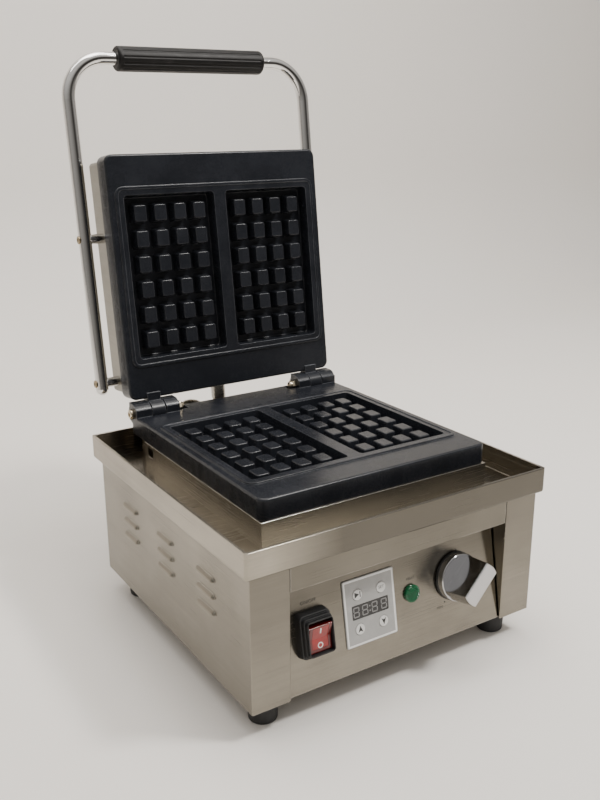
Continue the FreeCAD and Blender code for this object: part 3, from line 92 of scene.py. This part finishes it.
class Nodes:
    """A node tree, with short calls for the nodes that the materials and the world share."""

    def __init__(self, tree, coords="Object"):
        self.tree = tree
        self.coords = tree.nodes.new("ShaderNodeTexCoord").outputs[coords]

    def add(self, kind, **settings):
        node = self.tree.nodes.new(kind)
        for name, value in settings.items():
            setattr(node, name, value)
        return node

    def feed(self, socket, value):
        """Links a socket, or sets it, with an alpha of 1 added to a colour."""
        if isinstance(value, bpy.types.NodeSocket):
            self.tree.links.new(value, socket)
        elif hasattr(value, "__len__") and len(value) == 3 and len(socket.default_value) == 4:
            socket.default_value = (*value, 1.0)
        else:
            socket.default_value = value

    def math(self, operation, a, b=0.0, c=None):
        node = self.add("ShaderNodeMath", operation=operation)
        self.feed(node.inputs[0], a)
        self.feed(node.inputs[1], b)
        if c is not None:
            self.feed(node.inputs[2], c)
        return node.outputs[0]

    def scaled(self, x, y, z):
        node = self.add("ShaderNodeVectorMath", operation="MULTIPLY")
        self.feed(node.inputs[0], self.coords)
        node.inputs[1].default_value = (x, y, z)
        return node.outputs[0]

    def noise(self, coords, scale=1.0, detail=3.0, roughness=0.5):
        node = self.add("ShaderNodeTexNoise")
        self.feed(node.inputs["Vector"], coords)
        node.inputs["Scale"].default_value = scale
        node.inputs["Detail"].default_value = detail
        node.inputs["Roughness"].default_value = roughness
        return node.outputs["Fac"]

    def remap(self, value, low, high, to_low=0.0, to_high=1.0):
        node = self.add("ShaderNodeMapRange")
        self.feed(node.inputs["Value"], value)
        node.inputs["From Min"].default_value = low
        node.inputs["From Max"].default_value = high
        node.inputs["To Min"].default_value = to_low
        node.inputs["To Max"].default_value = to_high
        return node.outputs["Result"]

    def mix(self, factor, a, b):
        node = self.add("ShaderNodeMix", data_type="RGBA")
        self.feed(node.inputs["Factor"], factor)
        self.feed(node.inputs["A"], a)
        self.feed(node.inputs["B"], b)
        return node.outputs["Result"]

    def blend(self, factor, a, b):
        node = self.add("ShaderNodeMix", data_type="FLOAT")
        self.feed(node.inputs[0], factor)
        self.feed(node.inputs[2], a)
        self.feed(node.inputs[3], b)
        return node.outputs[0]

    def split(self, vector):
        node = self.add("ShaderNodeSeparateXYZ")
        self.feed(node.inputs[0], vector)
        return node.outputs

    def dot(self, a, b):
        node = self.add("ShaderNodeVectorMath", operation="DOT_PRODUCT")
        self.feed(node.inputs[0], a)
        self.feed(node.inputs[1], b)
        return node.outputs["Value"]


class Surface(Nodes):
    """A material of one Principled shader."""

    def __init__(self, name):
        self.material = bpy.data.materials.new(name)
        self.material.use_nodes = True
        super().__init__(self.material.node_tree)
        self.shader = self.tree.nodes["Principled BSDF"]

    def set(self, **values):
        """Sets or links the shader's sockets, with _ for the spaces in their names."""
        for name, value in values.items():
            self.feed(self.shader.inputs[name.replace("_", " ")], value)

    def flat_normal(self):
        return self.add("ShaderNodeNewGeometry").outputs["True Normal"]

    def rounded(self, radius):
        """The normal with the edges rounded off by a radius."""
        node = self.add("ShaderNodeBevel", samples=6)
        node.inputs["Radius"].default_value = radius
        return node.outputs["Normal"]

    def edge_mask(self, rounded):
        """1 along the sharp edges and 0 on the faces between them."""
        return self.remap(self.dot(rounded, self.flat_normal()), 0.995, 0.85)

    def bump(self, height, distance, normal, strength=0.5):
        node = self.add("ShaderNodeBump")
        self.feed(node.inputs["Height"], height)
        node.inputs["Distance"].default_value = distance
        node.inputs["Strength"].default_value = strength
        self.feed(node.inputs["Normal"], normal)
        return node.outputs["Normal"]


# ---------------------------------------------------------------- surface makers
def brushed_steel(name, tone, smudge, grain=1.0, gloss=(0.2, 0.3), shade=None):
    """Brushed sheet, which stretches reflections across its fine lines.

    The lines run along x on flat faces and level on upright ones.
    """
    m = Surface(name)
    flat = m.math("GREATER_THAN", m.math("ABSOLUTE", m.split(m.flat_normal())[2]), 0.7)
    upright_lines = m.noise(m.scaled(9, 9, 2600), 1.0, 2.0, 0.6)
    flat_lines = m.noise(m.scaled(9, 2600, 9), 1.0, 2.0, 0.6)
    lines = m.blend(flat, upright_lines, flat_lines)
    cloud = m.noise(m.coords, 14.0, 4.0, 0.6)
    streak = m.noise(m.scaled(6, 6, 90), 1.0, 3.0, 0.6)
    spots = m.noise(m.scaled(60, 60, 90), 1.0, 3.0, 0.7)
    color = m.mix(m.remap(cloud, 0.35, 0.7), tone, smudge)
    color = m.mix(m.remap(streak, 0.4, 0.7, 0.0, 0.3), color, times(tone, 0.7))
    color = m.mix(m.remap(lines, 0.3, 0.7, 0.0, 0.22 * grain), color, times(tone, 0.55))
    color = m.mix(m.remap(spots, 0.62, 0.75, 0.0, 0.12), color, times(tone, 0.6))
    if shade:
        color = shade(m, color)
    rounded = m.rounded(0.0006)
    # Painted highlight: a near-white line along the sharp edges of the sheet.
    color = m.mix(m.math("MULTIPLY", m.edge_mask(rounded), 0.8), color, (0.9, 0.87, 0.81))
    rough = m.remap(m.math("ADD", lines, m.math("MULTIPLY", cloud, 0.6)), 0.4, 1.2, *gloss)
    spread = m.add("ShaderNodeCombineXYZ")
    m.feed(spread.inputs[1], flat)
    m.feed(spread.inputs[2], m.math("SUBTRACT", 1.0, flat))
    m.set(Base_Color=color, Metallic=1.0, Roughness=rough, Anisotropic=0.8)
    m.set(Tangent=spread.outputs[0], Normal=m.bump(lines, 0.00002 * grain, rounded, 0.55))
    return m.material


def cast_nonstick(name, tone, edge_tone):
    """Black coating over sand-cast metal, fine-grained, with paler edges."""
    m = Surface(name)
    grain = m.noise(m.coords, 2300.0, 2.0, 0.6)
    cloud = m.noise(m.coords, 22.0, 4.0, 0.6)
    rounded = m.rounded(0.0007)
    edge = m.math("MULTIPLY", m.edge_mask(rounded), m.remap(cloud, 0.3, 0.7, 0.4, 1.0))
    color = m.mix(m.remap(cloud, 0.3, 0.75), tone, times(tone, 1.5))
    color = m.mix(edge, color, edge_tone)
    m.set(Base_Color=color, Roughness=m.remap(m.math("ADD", grain, cloud), 0.6, 1.4, 0.2, 0.34))
    m.set(Metallic=0.0, Specular_IOR_Level=0.36)
    m.set(Normal=m.bump(grain, 0.00005, rounded))
    return m.material


def polished(name, tone, rough=(0.05, 0.12), scale=40.0):
    """Chrome plate with faint wiping marks."""
    m = Surface(name)
    cloud = m.noise(m.coords, scale, 4.0, 0.6)
    fine = m.noise(m.coords, scale * 20, 2.0, 0.5)
    color = m.mix(m.remap(cloud, 0.4, 0.75, 0.0, 0.3), tone, times(tone, 0.8))
    m.set(Base_Color=color, Metallic=1.0, Roughness=m.remap(cloud, 0.35, 0.7, *rough))
    m.set(Normal=m.bump(fine, 0.00001, m.rounded(0.0005), 0.3))
    return m.material


def moulded(name, tone, rough=(0.35, 0.5), grain=900.0, depth=0.00004, edge=0.25, **sockets):
    """Moulded plastic or rubber: a fine skin texture, faint dust and paler edges."""
    m = Surface(name)
    skin = m.noise(m.coords, grain, 2.0, 0.6)
    dust = m.noise(m.coords, 70.0, 4.0, 0.65)
    rounded = m.rounded(0.0004)
    pale = tuple(min(1.0, c * 1.6 + 0.05) for c in tone)
    color = m.mix(m.remap(dust, 0.5, 0.8, 0.0, 0.25), tone, pale)
    color = m.mix(m.math("MULTIPLY", m.edge_mask(rounded), edge), color, pale)
    m.set(Base_Color=color, Roughness=m.remap(dust, 0.3, 0.75, *rough), **sockets)
    m.set(Normal=m.bump(skin, depth, rounded))
    return m.material


def rocker_red():
    """Clear red plastic, lit through a rectangular lens inside a darker rim."""
    m = Surface("red_rocker")
    place = m.add("ShaderNodeVectorMath", operation="SUBTRACT")
    m.feed(place.inputs[0], m.coords)
    m.feed(place.inputs[1], centre("rocker"))
    half_w = m.math("ABSOLUTE", m.split(place.outputs[0])[0])
    half_l = m.math("ABSOLUTE", m.dot(place.outputs[0], UP))
    lens = m.math("MULTIPLY", m.remap(half_w, 0.0080, 0.0074), m.remap(half_l, 0.0100, 0.0094))
    cloud = m.noise(m.coords, 160.0, 3.0, 0.6)
    rounded = m.rounded(0.0006)
    lit = m.mix(m.remap(cloud, 0.35, 0.7), (0.36, 0.010, 0.009), (0.26, 0.007, 0.007))
    color = m.mix(lens, (0.12, 0.005, 0.005), lit)
    color = m.mix(m.math("MULTIPLY", m.edge_mask(rounded), 0.35), color, (0.6, 0.12, 0.1))
    m.set(Base_Color=color, Roughness=m.remap(cloud, 0.3, 0.7, 0.14, 0.24), Coat_Weight=0.4)
    m.set(Normal=m.bump(lens, 0.0004, rounded))
    return m.material


def printed(name, tone):
    """Printing ink, slightly rubbed."""
    m = Surface(name)
    wear = m.noise(m.coords, 1500.0, 2.0, 0.6)
    rubbed = tuple(min(1.0, c * 0.8 + 0.04) for c in tone)
    m.set(Base_Color=m.mix(m.remap(wear, 0.5, 0.85, 0.0, 0.35), tone, rubbed), Roughness=0.45)
    return m.material


# ---------------------------------------------------------------- materials
WARM = (0.31, 0.285, 0.24)
WARM_DARK = (0.245, 0.225, 0.188)
# Dark tone of the painted shade on the forward faces of the sheet and on the slanted panel.
SHADE_TONE = times(WARM, 0.45)


def heat_tint(m, color):
    """Brown temper colours that fade in towards the rear of the tray."""
    x, y, _z = m.split(m.coords)
    fade = m.remap(y, 0.03, 0.11)
    left = m.remap(x, 0.0, -0.1, 0.35, 1.0)
    patchiness = m.remap(m.noise(m.coords, 30.0, 4.0, 0.6), 0.3, 0.7, 0.35, 1.0)
    amount = m.math("MULTIPLY", m.math("MULTIPLY", fade, left), m.math("MULTIPLY", patchiness, 0.25))
    return m.mix(amount, color, (0.20, 0.13, 0.085))


def tray_tint_and_painted_shade(m, color):
    """Heat tint inside, and painted shade that darkens the front lip, fading out towards its left corner."""
    x, y, _z = m.split(m.coords)
    # Painted shade on the front lip, left off near its left corner.
    front = m.math("MULTIPLY", m.remap(y, -0.178, -0.180), m.remap(x, -0.14, -0.07))
    return m.mix(m.math("MULTIPLY", front, 0.95), heat_tint(m, color), times(WARM, 0.38))


def post_painted_shade(m, color):
    """Painted shade that darkens the forward-facing faces, the front posts among them, towards the top."""
    forward = m.remap(m.split(m.flat_normal())[1], -0.5, -0.9)
    shade_amount = m.math("MULTIPLY", forward, m.remap(m.split(m.coords)[2], 0.045, 0.12))
    return m.mix(m.math("MULTIPLY", shade_amount, 0.6), color, SHADE_TONE)


def panel_painted_shade(m, color):
    """Patchy painted shade that darkens the slanted panel towards its top and fades out down the slope."""
    _x, _y, z = m.split(m.coords)
    patchiness = m.remap(m.noise(m.coords, 9.0, 3.0, 0.6), 0.3, 0.7, 0.6, 1.0)
    # Painted shade: strongest at the top of the slanted panel.
    shade_amount = m.math("MULTIPLY", m.remap(z, 0.055, 0.105), patchiness)
    return m.mix(m.math("MULTIPLY", shade_amount, 0.85), color, SHADE_TONE)


STEEL = brushed_steel("brushed_sheet", WARM, WARM_DARK, shade=post_painted_shade)
TRAY_STEEL = brushed_steel("tray_sheet", times(WARM, 1.35), times(WARM, 1.15), shade=tray_tint_and_painted_shade)
# Painted light: the housing steel is 1.4 times brighter than the other sheet, to offset the shade under the
# plates.
HOUSING_STEEL_PAINTED_BRIGHT = brushed_steel("housing_sheet_painted_bright", times(WARM, 1.4), WARM, shade=heat_tint)
PANEL_STEEL = brushed_steel("panel_sheet", WARM, WARM_DARK, shade=panel_painted_shade)
COVER_STEEL = brushed_steel("cover_sheet", (0.25, 0.235, 0.20), (0.215, 0.2, 0.17), 0.5, (0.3, 0.42))
CAST = cast_nonstick("cast_coating", (0.0115, 0.0128, 0.0165), (0.2, 0.21, 0.235))
CHROME = polished("tube_chrome", (0.74, 0.73, 0.72))
KNOB_CHROME = polished("knob_plate", (0.50, 0.50, 0.51), (0.06, 0.2), 90.0)
SCREW_STEEL = polished("zinc_plate", (0.52, 0.5, 0.46), (0.2, 0.35), 300.0)
BRASS = polished("nut_plate", (0.62, 0.54, 0.41), (0.12, 0.25), 300.0)
DARK_BRASS = polished("handle_screw_plate", (0.34, 0.27, 0.17), (0.25, 0.4), 300.0)
CONDUIT_STEEL = polished("wound_strip", (0.42, 0.40, 0.36), (0.25, 0.4), 200.0)
ELEMENT = brushed_steel("element_sheath", (0.3, 0.27, 0.24), (0.2, 0.17, 0.15))
CLAMP = brushed_steel("zinc_sheet", (0.5, 0.5, 0.49), (0.4, 0.4, 0.39))
WOOL = moulded("wool", (0.6, 0.55, 0.4), (0.8, 0.95), 400.0, 0.0006)
RUBBER = moulded("rubber_skin", (0.014, 0.014, 0.015), (0.5, 0.65), 1200.0, 0.00006, 0.5)
GRIP = moulded("grip_skin", (0.0045, 0.0038, 0.0038), (0.42, 0.55), 1500.0, 0.00003, 0.3,
               Specular_IOR_Level=0.3)
BLACK = moulded("black_plastic", (0.02, 0.02, 0.021))
BOARD = moulded("board_lacquer", (0.03, 0.16, 0.07), (0.25, 0.35))
LABEL = moulded("label_film", (0.40, 0.40, 0.395), (0.38, 0.48), 2500.0, 0.00001, 0.2)
WINDOW = moulded("window_film", (0.02, 0.02, 0.021), (0.1, 0.2), 2500.0, 0.000002, 0.0)
KEY = moulded("key_cap", (0.72, 0.72, 0.71), (0.3, 0.4), 2500.0, 0.00001, 0.3)
RED = rocker_red()
WHITE_PRINT = printed("white_print", (0.88, 0.88, 0.87))
BLACK_PRINT = printed("black_print", (0.02, 0.02, 0.02))
GREY_PRINT = printed("segment_print", (0.24, 0.24, 0.24))

FINISH = {
    "stainless": STEEL,
    "stainless_cover": COVER_STEEL,
    "cast_nonstick": CAST,
    "screw_steel": SCREW_STEEL,
    "nut_brass": BRASS,
    "element_steel": ELEMENT,
    "clamp_steel": CLAMP,
    "mineral_wool": WOOL,
    "chrome": CHROME,
    "grip_black": GRIP,
    "knob_chrome": KNOB_CHROME,
    "rubber": RUBBER,
    "rocker_red": RED,
    "lens_green": BOARD,
    "bezel_grey": LABEL,
    "window_black": WINDOW,
    "key_white": KEY,
    "plastic_black": BLACK,
    "board_green": BOARD,
    "conduit_steel": CONDUIT_STEEL,
}
BY_NODE = {
    "drip_tray": TRAY_STEEL,
    "heater_housing": HOUSING_STEEL_PAINTED_BRIGHT,
    "front_panel": PANEL_STEEL,
    "handle_screws": DARK_BRASS,
    "hinge_bolts": BRASS,
}
for part in frame["record"]["subparts"]:
    mesh = NODES[part["node"]].data
    surface = BY_NODE.get(part["node"], FINISH[part["material_slot"]])
    if not mesh.materials:
        mesh.materials.append(surface)
    for i in range(len(mesh.materials)):
        mesh.materials[i] = surface

# ---------------------------------------------------------------- control panel marks
KNOB_AT = (67.1, 56.5)      # the knob's axis, across from the middle and up the slope, in mm
KNOB_RISE = KNOB_AT[1]
CAP_HEIGHT = 0.72           # of the lettering's nominal size


def new_piece(name, verts, faces, material, body, smooth=False):
    mesh = bpy.data.meshes.new(name)
    mesh.from_pydata([tuple(v) for v in verts], [], faces)
    mesh.materials.append(material)
    mesh.polygons.foreach_set("use_smooth", [smooth] * len(mesh.polygons))
    mesh.validate()
    obj = bpy.data.objects.new(name, mesh)
    SCENE.collection.objects.link(obj)
    if body:
        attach(obj, body)
    return obj


def tree_of(node):
    mesh = NODES[node].data
    return BVHTree.FromPolygons([v.co for v in mesh.vertices], [tuple(p.vertices) for p in mesh.polygons])


def lay(name, node, at, shapes, material, body, lift=0.05):
    """Thin marks, given as rings of (across, up) in mm about a point, laid on a node's outer surface."""
    tree = tree_of(node)
    start = 50 * MM
    verts, faces = [], []
    for ring in shapes:
        faces.append(tuple(range(len(verts), len(verts) + len(ring))))
        for x, y in ring:
            above = at + ACROSS * (x * MM) + UP * (y * MM) + OUT * start
            landing, _normal, _face, _distance = tree.ray_cast(above, -OUT)
            verts.append(landing + OUT * (lift * MM))
    return new_piece(name, verts, faces, material, body)


def rect(x0, x1, y0, y1):
    return [(x0, y0), (x1, y0), (x1, y1), (x0, y1)]


def held(value, limit):
    return max(-limit, min(limit, value))


def border_of(w, h, corner, line):
    """A line of quads along the inside of a rounded rectangle's edge."""
    outline = []
    for sx, sy, start in ((1, 1, 0), (-1, 1, 90), (-1, -1, 180), (1, -1, 270)):
        for step in range(7):
            t = math.radians(start + 15 * step)
            outline.append((sx * (w / 2 - corner) + math.cos(t) * corner,
                            sy * (h / 2 - corner) + math.sin(t) * corner))
    inside = [(held(x, w / 2 - line), held(y, h / 2 - line)) for x, y in outline]
    following = [(i + 1) % len(outline) for i in range(len(outline))]
    return [[outline[i], outline[n], inside[n], inside[i]] for i, n in enumerate(following)]


def ring_of(r, line, steps=28):
    quads = []
    for i in range(steps):
        a, b = (2 * math.pi * k / steps for k in (i, i + 1))
        quads.append([((r - d) * math.cos(t), (r - d) * math.sin(t))
                      for t, d in ((a, 0), (b, 0), (b, line), (a, line))])
    return quads


def disc_of(r, steps=12):
    angles = [2 * math.pi * k / steps for k in range(steps)]
    return [[(r * math.cos(t), r * math.sin(t)) for t in angles]]


def moved(shapes, dx, dy):
    return [[(x + dx, y + dy) for x, y in ring] for ring in shapes]


def on_panel(x, s):
    """A point of the panel from its place in mm: across from the middle, and up the slope from its foot."""
    return Vector((0, KNOB_FOOT.y, KNOB_FOOT.z)) + ACROSS * (x * MM) + UP * ((s - KNOB_RISE) * MM)


def lettering(text, height):
    """Outlines of a short word as filled polygons in mm, centred on its own middle."""
    curve = bpy.data.curves.new("lettering", "FONT")
    curve.body = text
    curve.size = height / CAP_HEIGHT
    curve.align_x = "CENTER"
    curve.align_y = "CENTER"
    holder = bpy.data.objects.new("lettering", curve)
    SCENE.collection.objects.link(holder)
    mesh = bpy.data.meshes.new_from_object(holder)
    shapes = [[(mesh.vertices[i].co.x, mesh.vertices[i].co.y) for i in p.vertices] for p in mesh.polygons]
    bpy.data.objects.remove(holder)
    bpy.data.curves.remove(curve)
    bpy.data.meshes.remove(mesh)
    return shapes


# timer label
LABEL_W, LABEL_L, LABEL_CORNER, LABEL_LINE = 53.0, 59.0, 1.4, 1.7
lay("timer_border", "timer_bezel", centre("timer_bezel"),
    border_of(LABEL_W, LABEL_L, LABEL_CORNER, LABEL_LINE), WHITE_PRINT, "base")


def seven_segments(w, h, line, gap=0.16):
    """The outlines of one unlit digit."""
    x, y = w / 2, h / 2
    flat = [rect(-x + line * 0.6, x - line * 0.6, at - line / 2, at + line / 2)
            for at in (y - line / 2, 0.0, -y + line / 2)]
    runs = ((line / 2 + gap, y - line * 0.6), (-y + line * 0.6, -line / 2 - gap))
    left = [rect(-x, -x + line, y0, y1) for y0, y1 in runs]
    right = [rect(x - line, x, y0, y1) for y0, y1 in runs]
    return flat + left + right


digits = []
for place in (-14.7, -5.5, 4.7, 14.7):
    digits += moved(seven_segments(6.4, 9.4, 1.1), place, 0)
for place in (2.1, -2.1):
    digits += moved([rect(-0.7, 0.7, -0.7, 0.7)], -0.4, place)
lay("timer_digits", "timer_window", centre("timer_window"), digits, GREY_PRINT, "base")

arrow_up = [[(-2.6, -2.9), (0, -1.4), (0, 3.2)], [(0, -1.4), (2.6, -2.9), (0, 3.2)]]
KEY_MARKS = {
    "key_start": [[(-3.2, -2.6), (1.5, 0.0), (-3.2, 2.6)], rect(2.1, 3.0, -2.6, 2.6)],
    "key_mode": lettering("SET", 2.7),
    "key_up": arrow_up,
    "key_down": [[(x, -y) for x, y in reversed(ring)] for ring in arrow_up],
}
for key, mark in KEY_MARKS.items():
    lay(key + "_mark", key, centre(key), mark, BLACK_PRINT, key)

# rocker marks
rocker_at = centre("rocker")
lay("rocker_on_mark", "rocker", rocker_at + UP * 0.0062, [rect(-0.6, 0.6, -2.4, 2.4)], WHITE_PRINT,
    "rocker")
lay("rocker_off_mark", "rocker", rocker_at - UP * 0.0070, ring_of(2.6, 0.85), WHITE_PRINT,
    "rocker")

# panel print
for name, text, height, place in (
        ("switch_words", "ON/OFF", 3.1, (-91.0, 77.5)),
        ("lamp_word", "HEAT", 2.7, (16.5, 67.7)),
        ("scale_word", "MIN", 2.8, (47.5, 31.0))):
    lay(name, "front_panel", on_panel(*place), lettering(text, height),
        BLACK_PRINT, "base")
dots = []
for x, s in ((71.1, 80.0), (46.1, 53.7), (53.5, 34.8)):
    dots += moved(disc_of(0.8), x - KNOB_AT[0], s - KNOB_AT[1])
lay("scale_dots", "front_panel", on_panel(*KNOB_AT), dots, BLACK_PRINT, "base")


# ---------------------------------------------------------------- lamp lens
def glass(name, tone):
    m = Surface(name)
    cells = m.noise(m.coords, 700.0, 2.0, 0.5)
    color = m.mix(m.remap(cells, 0.35, 0.65), times(tone, 0.55), tone)
    m.set(Base_Color=color, Roughness=m.remap(cells, 0.3, 0.7, 0.06, 0.16))
    m.set(Transmission_Weight=0.1, IOR=1.49)
    return m.material


LENS_GREEN = glass("green_lens", (0.0, 0.13, 0.045))
PYRAMID = 1.5 * MM
ROWS = 11
ROUND = 48                  # sides of the lens's rim


def lamp_lens():
    """A low dome pressed with small pyramids inside a smooth rim."""
    at = centre("lamp_lens")
    low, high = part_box("lamp_lens")
    radius = (high.x - low.x) / 2 - 0.05 * MM
    rises = [(v.co - at).dot(OUT) for v in NODES["lamp_lens"].data.vertices]
    foot, head = min(rises), max(rises)
    verts, faces = [], []

    def height(r):
        return foot + (head - foot) * (0.55 + 0.4 * math.sqrt(max(0.0, 1 - (r / radius) ** 2)))

    def put(x, y, h):
        verts.append(at + ACROSS * x + UP * y + OUT * h)
        return len(verts) - 1

    def put_ring(r, h):
        angles = [2 * math.pi * k / ROUND for k in range(ROUND)]
        return [put(r * math.cos(t), r * math.sin(t), h) for t in angles]

    places = [(k + 0.5 - ROWS / 2) * PYRAMID for k in range(ROWS)]
    for x, y in ((x, y) for x in places for y in places if math.hypot(x, y) <= radius - 0.9 * MM):
        corners = []
        for dx, dy in ((-1, -1), (1, -1), (1, 1), (-1, 1)):
            corner_x, corner_y = x + dx * PYRAMID / 2, y + dy * PYRAMID / 2
            corners.append(put(corner_x, corner_y, height(math.hypot(corner_x, corner_y)) - 0.35 * MM))
        tip = put(x, y, height(math.hypot(x, y)) + 0.1 * MM)
        faces += [(corners[k], corners[(k + 1) % 4], tip) for k in range(4)]

    rim = radius - 1.3 * MM
    rings = [put_ring(radius, foot), put_ring(radius, height(radius)),
             put_ring(radius - 0.4 * MM, height(radius) + 0.35 * MM), put_ring(rim, height(rim) - 0.2 * MM)]
    middle = put(0, 0, height(0) - 0.75 * MM)
    for outer, inner in zip(rings, rings[1:]):
        for k in range(ROUND):
            n = (k + 1) % ROUND
            faces.append((outer[k], outer[n], inner[n], inner[k]))
    faces += [(rings[-1][k], rings[-1][(k + 1) % ROUND], middle) for k in range(ROUND)]
    lens = new_piece("faceted_lens", verts, faces, LENS_GREEN, "base")
    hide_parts("lamp_lens")


lamp_lens()

# ---------------------------------------------------------------- ribbed conduit
DEPTH_SHIFT = -28.0         # from the cabinet's frame, which the route is given in, to this one
CONDUIT_ROUTE = ((-62, 169.3, 135), (-62, 169.3, 160), (-54, 170.2, 178), (-37, 171.3, 181),
                 (-18.5, 173.4, 164), (-3, 176.0, 170.6), (-3, 177.3, 181.5))
CONDUIT_R = 7.0 * MM
RIB_PITCH = 2.5 * MM
RIB_DIPS = (0.14, 0.05, 0.01, 0.0, 0.01, 0.05)      # shares of the radius over one turn
SLEEVED = 0.5               # of the length, from the foot
SLEEVE_SHOWS = 0.15         # how much of the ribs shows through the sleeve


def smooth_line(points, resolution=24):
    """Points of the NURBS spline that a route controls."""
    curve = bpy.data.curves.new("route", "CURVE")
    curve.dimensions = "3D"
    curve.resolution_u = resolution
    spline = curve.splines.new("NURBS")
    spline.points.add(len(points) - 1)
    for place, p in zip(spline.points, points):
        place.co = (p[0] * MM, (p[1] + DEPTH_SHIFT) * MM, p[2] * MM, 1.0)
    spline.order_u = 3
    spline.use_endpoint_u = True
    holder = bpy.data.objects.new("route", curve)
    SCENE.collection.objects.link(holder)
    mesh = bpy.data.meshes.new_from_object(holder)
    line = [v.co.copy() for v in mesh.vertices]
    bpy.data.objects.remove(holder)
    bpy.data.curves.remove(curve)
    bpy.data.meshes.remove(mesh)
    return line


def walk(line, step):
    """Evenly spaced (point, direction) pairs along a line."""
    lengths = [(b - a).length for a, b in zip(line, line[1:])]
    total = sum(lengths)
    count = max(2, round(total / step))
    places, at, run = [], 0, 0.0
    for i in range(count + 1):
        goal = total * i / count
        while at < len(lengths) - 1 and run + lengths[at] < goal:
            run += lengths[at]
            at += 1
        t = (goal - run) / lengths[at]
        places.append((line[at].lerp(line[at + 1], t), (line[at + 1] - line[at]).normalized()))
    return places


def ribbed_tube(name, line, radius, pitch, material, sides=28):
    """Wound strip: each turn swells to a crest and closes in a groove, shallower where it is sleeved."""
    places = walk(line, pitch / len(RIB_DIPS))
    verts, faces = [], []
    side = Vector((0, 1, 0))
    for i, (at, way) in enumerate(places):
        side = (side - way * side.dot(way)).normalized()
        other = way.cross(side)
        shows = min(1.0, max(SLEEVE_SHOWS, (i / len(places) - SLEEVED) / 0.1))
        r = radius * (1 - shows * RIB_DIPS[i % len(RIB_DIPS)])
        for k in range(sides):
            t = 2 * math.pi * k / sides
            verts.append(at + (side * math.cos(t) + other * math.sin(t)) * r)
    for i in range(len(places) - 1):
        for k in range(sides):
            n = (k + 1) % sides
            a, b = i * sides, (i + 1) * sides
            faces.append((a + k, a + n, b + n, b + k))
    faces.append(tuple(reversed(range(sides))))
    faces.append(tuple(range(len(verts) - sides, len(verts))))
    return new_piece(name, verts, faces, material, None, smooth=True)


route = smooth_line(CONDUIT_ROUTE)
conduit = ribbed_tube("conduit_windings", route, CONDUIT_R, RIB_PITCH, CONDUIT_STEEL)
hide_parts("conduit")
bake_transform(conduit)

# ---------------------------------------------------------------- floor, backdrop and light


def floor_material():
    m = Surface("pale_floor")
    cloud = m.noise(m.coords, 3.0, 4.0, 0.6)
    pale = m.mix(cloud, (0.86, 0.825, 0.78), (0.88, 0.85, 0.81))
    # Painted shade: the floor darkens beyond the camera, standing in for the unlit room that the metal reflects.
    far_painted_shade = m.remap(m.split(m.coords)[1], -0.8, -1.6)
    m.set(Base_Color=m.mix(far_painted_shade, pale, (0.22, 0.21, 0.20)), Roughness=0.8)
    return m.material


WALL_Y = 0.9
WALL_BEND = 0.35
HALF_WIDTH = 5.0


def backdrop():
    """A floor that sweeps up into a wall behind the object."""
    profile = [(-4.0, 0.0), (WALL_Y, 0.0)]
    for i in range(1, 13):
        t = math.pi / 2 * i / 12
        profile.append((WALL_Y + WALL_BEND * math.sin(t), WALL_BEND - WALL_BEND * math.cos(t)))
    profile.append((WALL_Y + WALL_BEND, 4.0))
    verts = [(x, y, z) for y, z in profile for x in (-HALF_WIDTH, HALF_WIDTH)]
    faces = [(2 * i, 2 * i + 1, 2 * i + 3, 2 * i + 2) for i in range(len(profile) - 1)]
    mesh = bpy.data.meshes.new("floor")
    mesh.from_pydata(verts, [], faces)
    mesh.materials.append(floor_material())
    mesh.polygons.foreach_set("use_smooth", [True] * len(mesh.polygons))
    obj = bpy.data.objects.new("floor", mesh)
    SCENE.collection.objects.link(obj)


backdrop()


def softbox(name, at, aim, size, power, tone=(1.0, 0.97, 0.93)):
    light = bpy.data.lights.new(name, "AREA")
    light.shape = "RECTANGLE"
    light.size, light.size_y = size
    light.energy = power
    light.color = tone
    obj = bpy.data.objects.new(name, light)
    obj.location = at
    obj.rotation_euler = (Vector(aim) - Vector(at)).to_track_quat("-Z", "Y").to_euler()
    SCENE.collection.objects.link(obj)


softbox("overhead", (0.2, 0.1, 2.2), (0, 0, 0.2), (1.8, 1.0), 25)
softbox("key", (0.78, -0.85, 1.8), (0, 0, 0.2), (0.3, 0.3), 26)
softbox("wall_wash", (-0.5, 0.1, 2.4), (-0.3, 1.2, 0.8), (1.8, 0.6), 16)


def studio_world():
    """Soft light from above, and a darker room beyond the camera for the metal to reflect."""
    world = bpy.data.worlds.new("studio")
    world.use_nodes = True
    SCENE.world = world
    sky = Nodes(world.node_tree, "Generated")
    x, y, z = sky.split(sky.coords)
    room = sky.mix(sky.remap(z, 0.05, 0.7), (0.42, 0.40, 0.37), (0.95, 0.92, 0.88))
    ahead = sky.math("MULTIPLY", sky.remap(y, -0.45, -0.85), sky.remap(z, 0.6, 0.25))
    ahead = sky.math("MULTIPLY", ahead, sky.remap(x, -0.5, 0.3, 0.35, 1.0))
    background = sky.tree.nodes["Background"]
    sky.feed(background.inputs["Color"], sky.mix(ahead, room, (0.07, 0.065, 0.06)))
    background.inputs["Strength"].default_value = 0.75


studio_world()
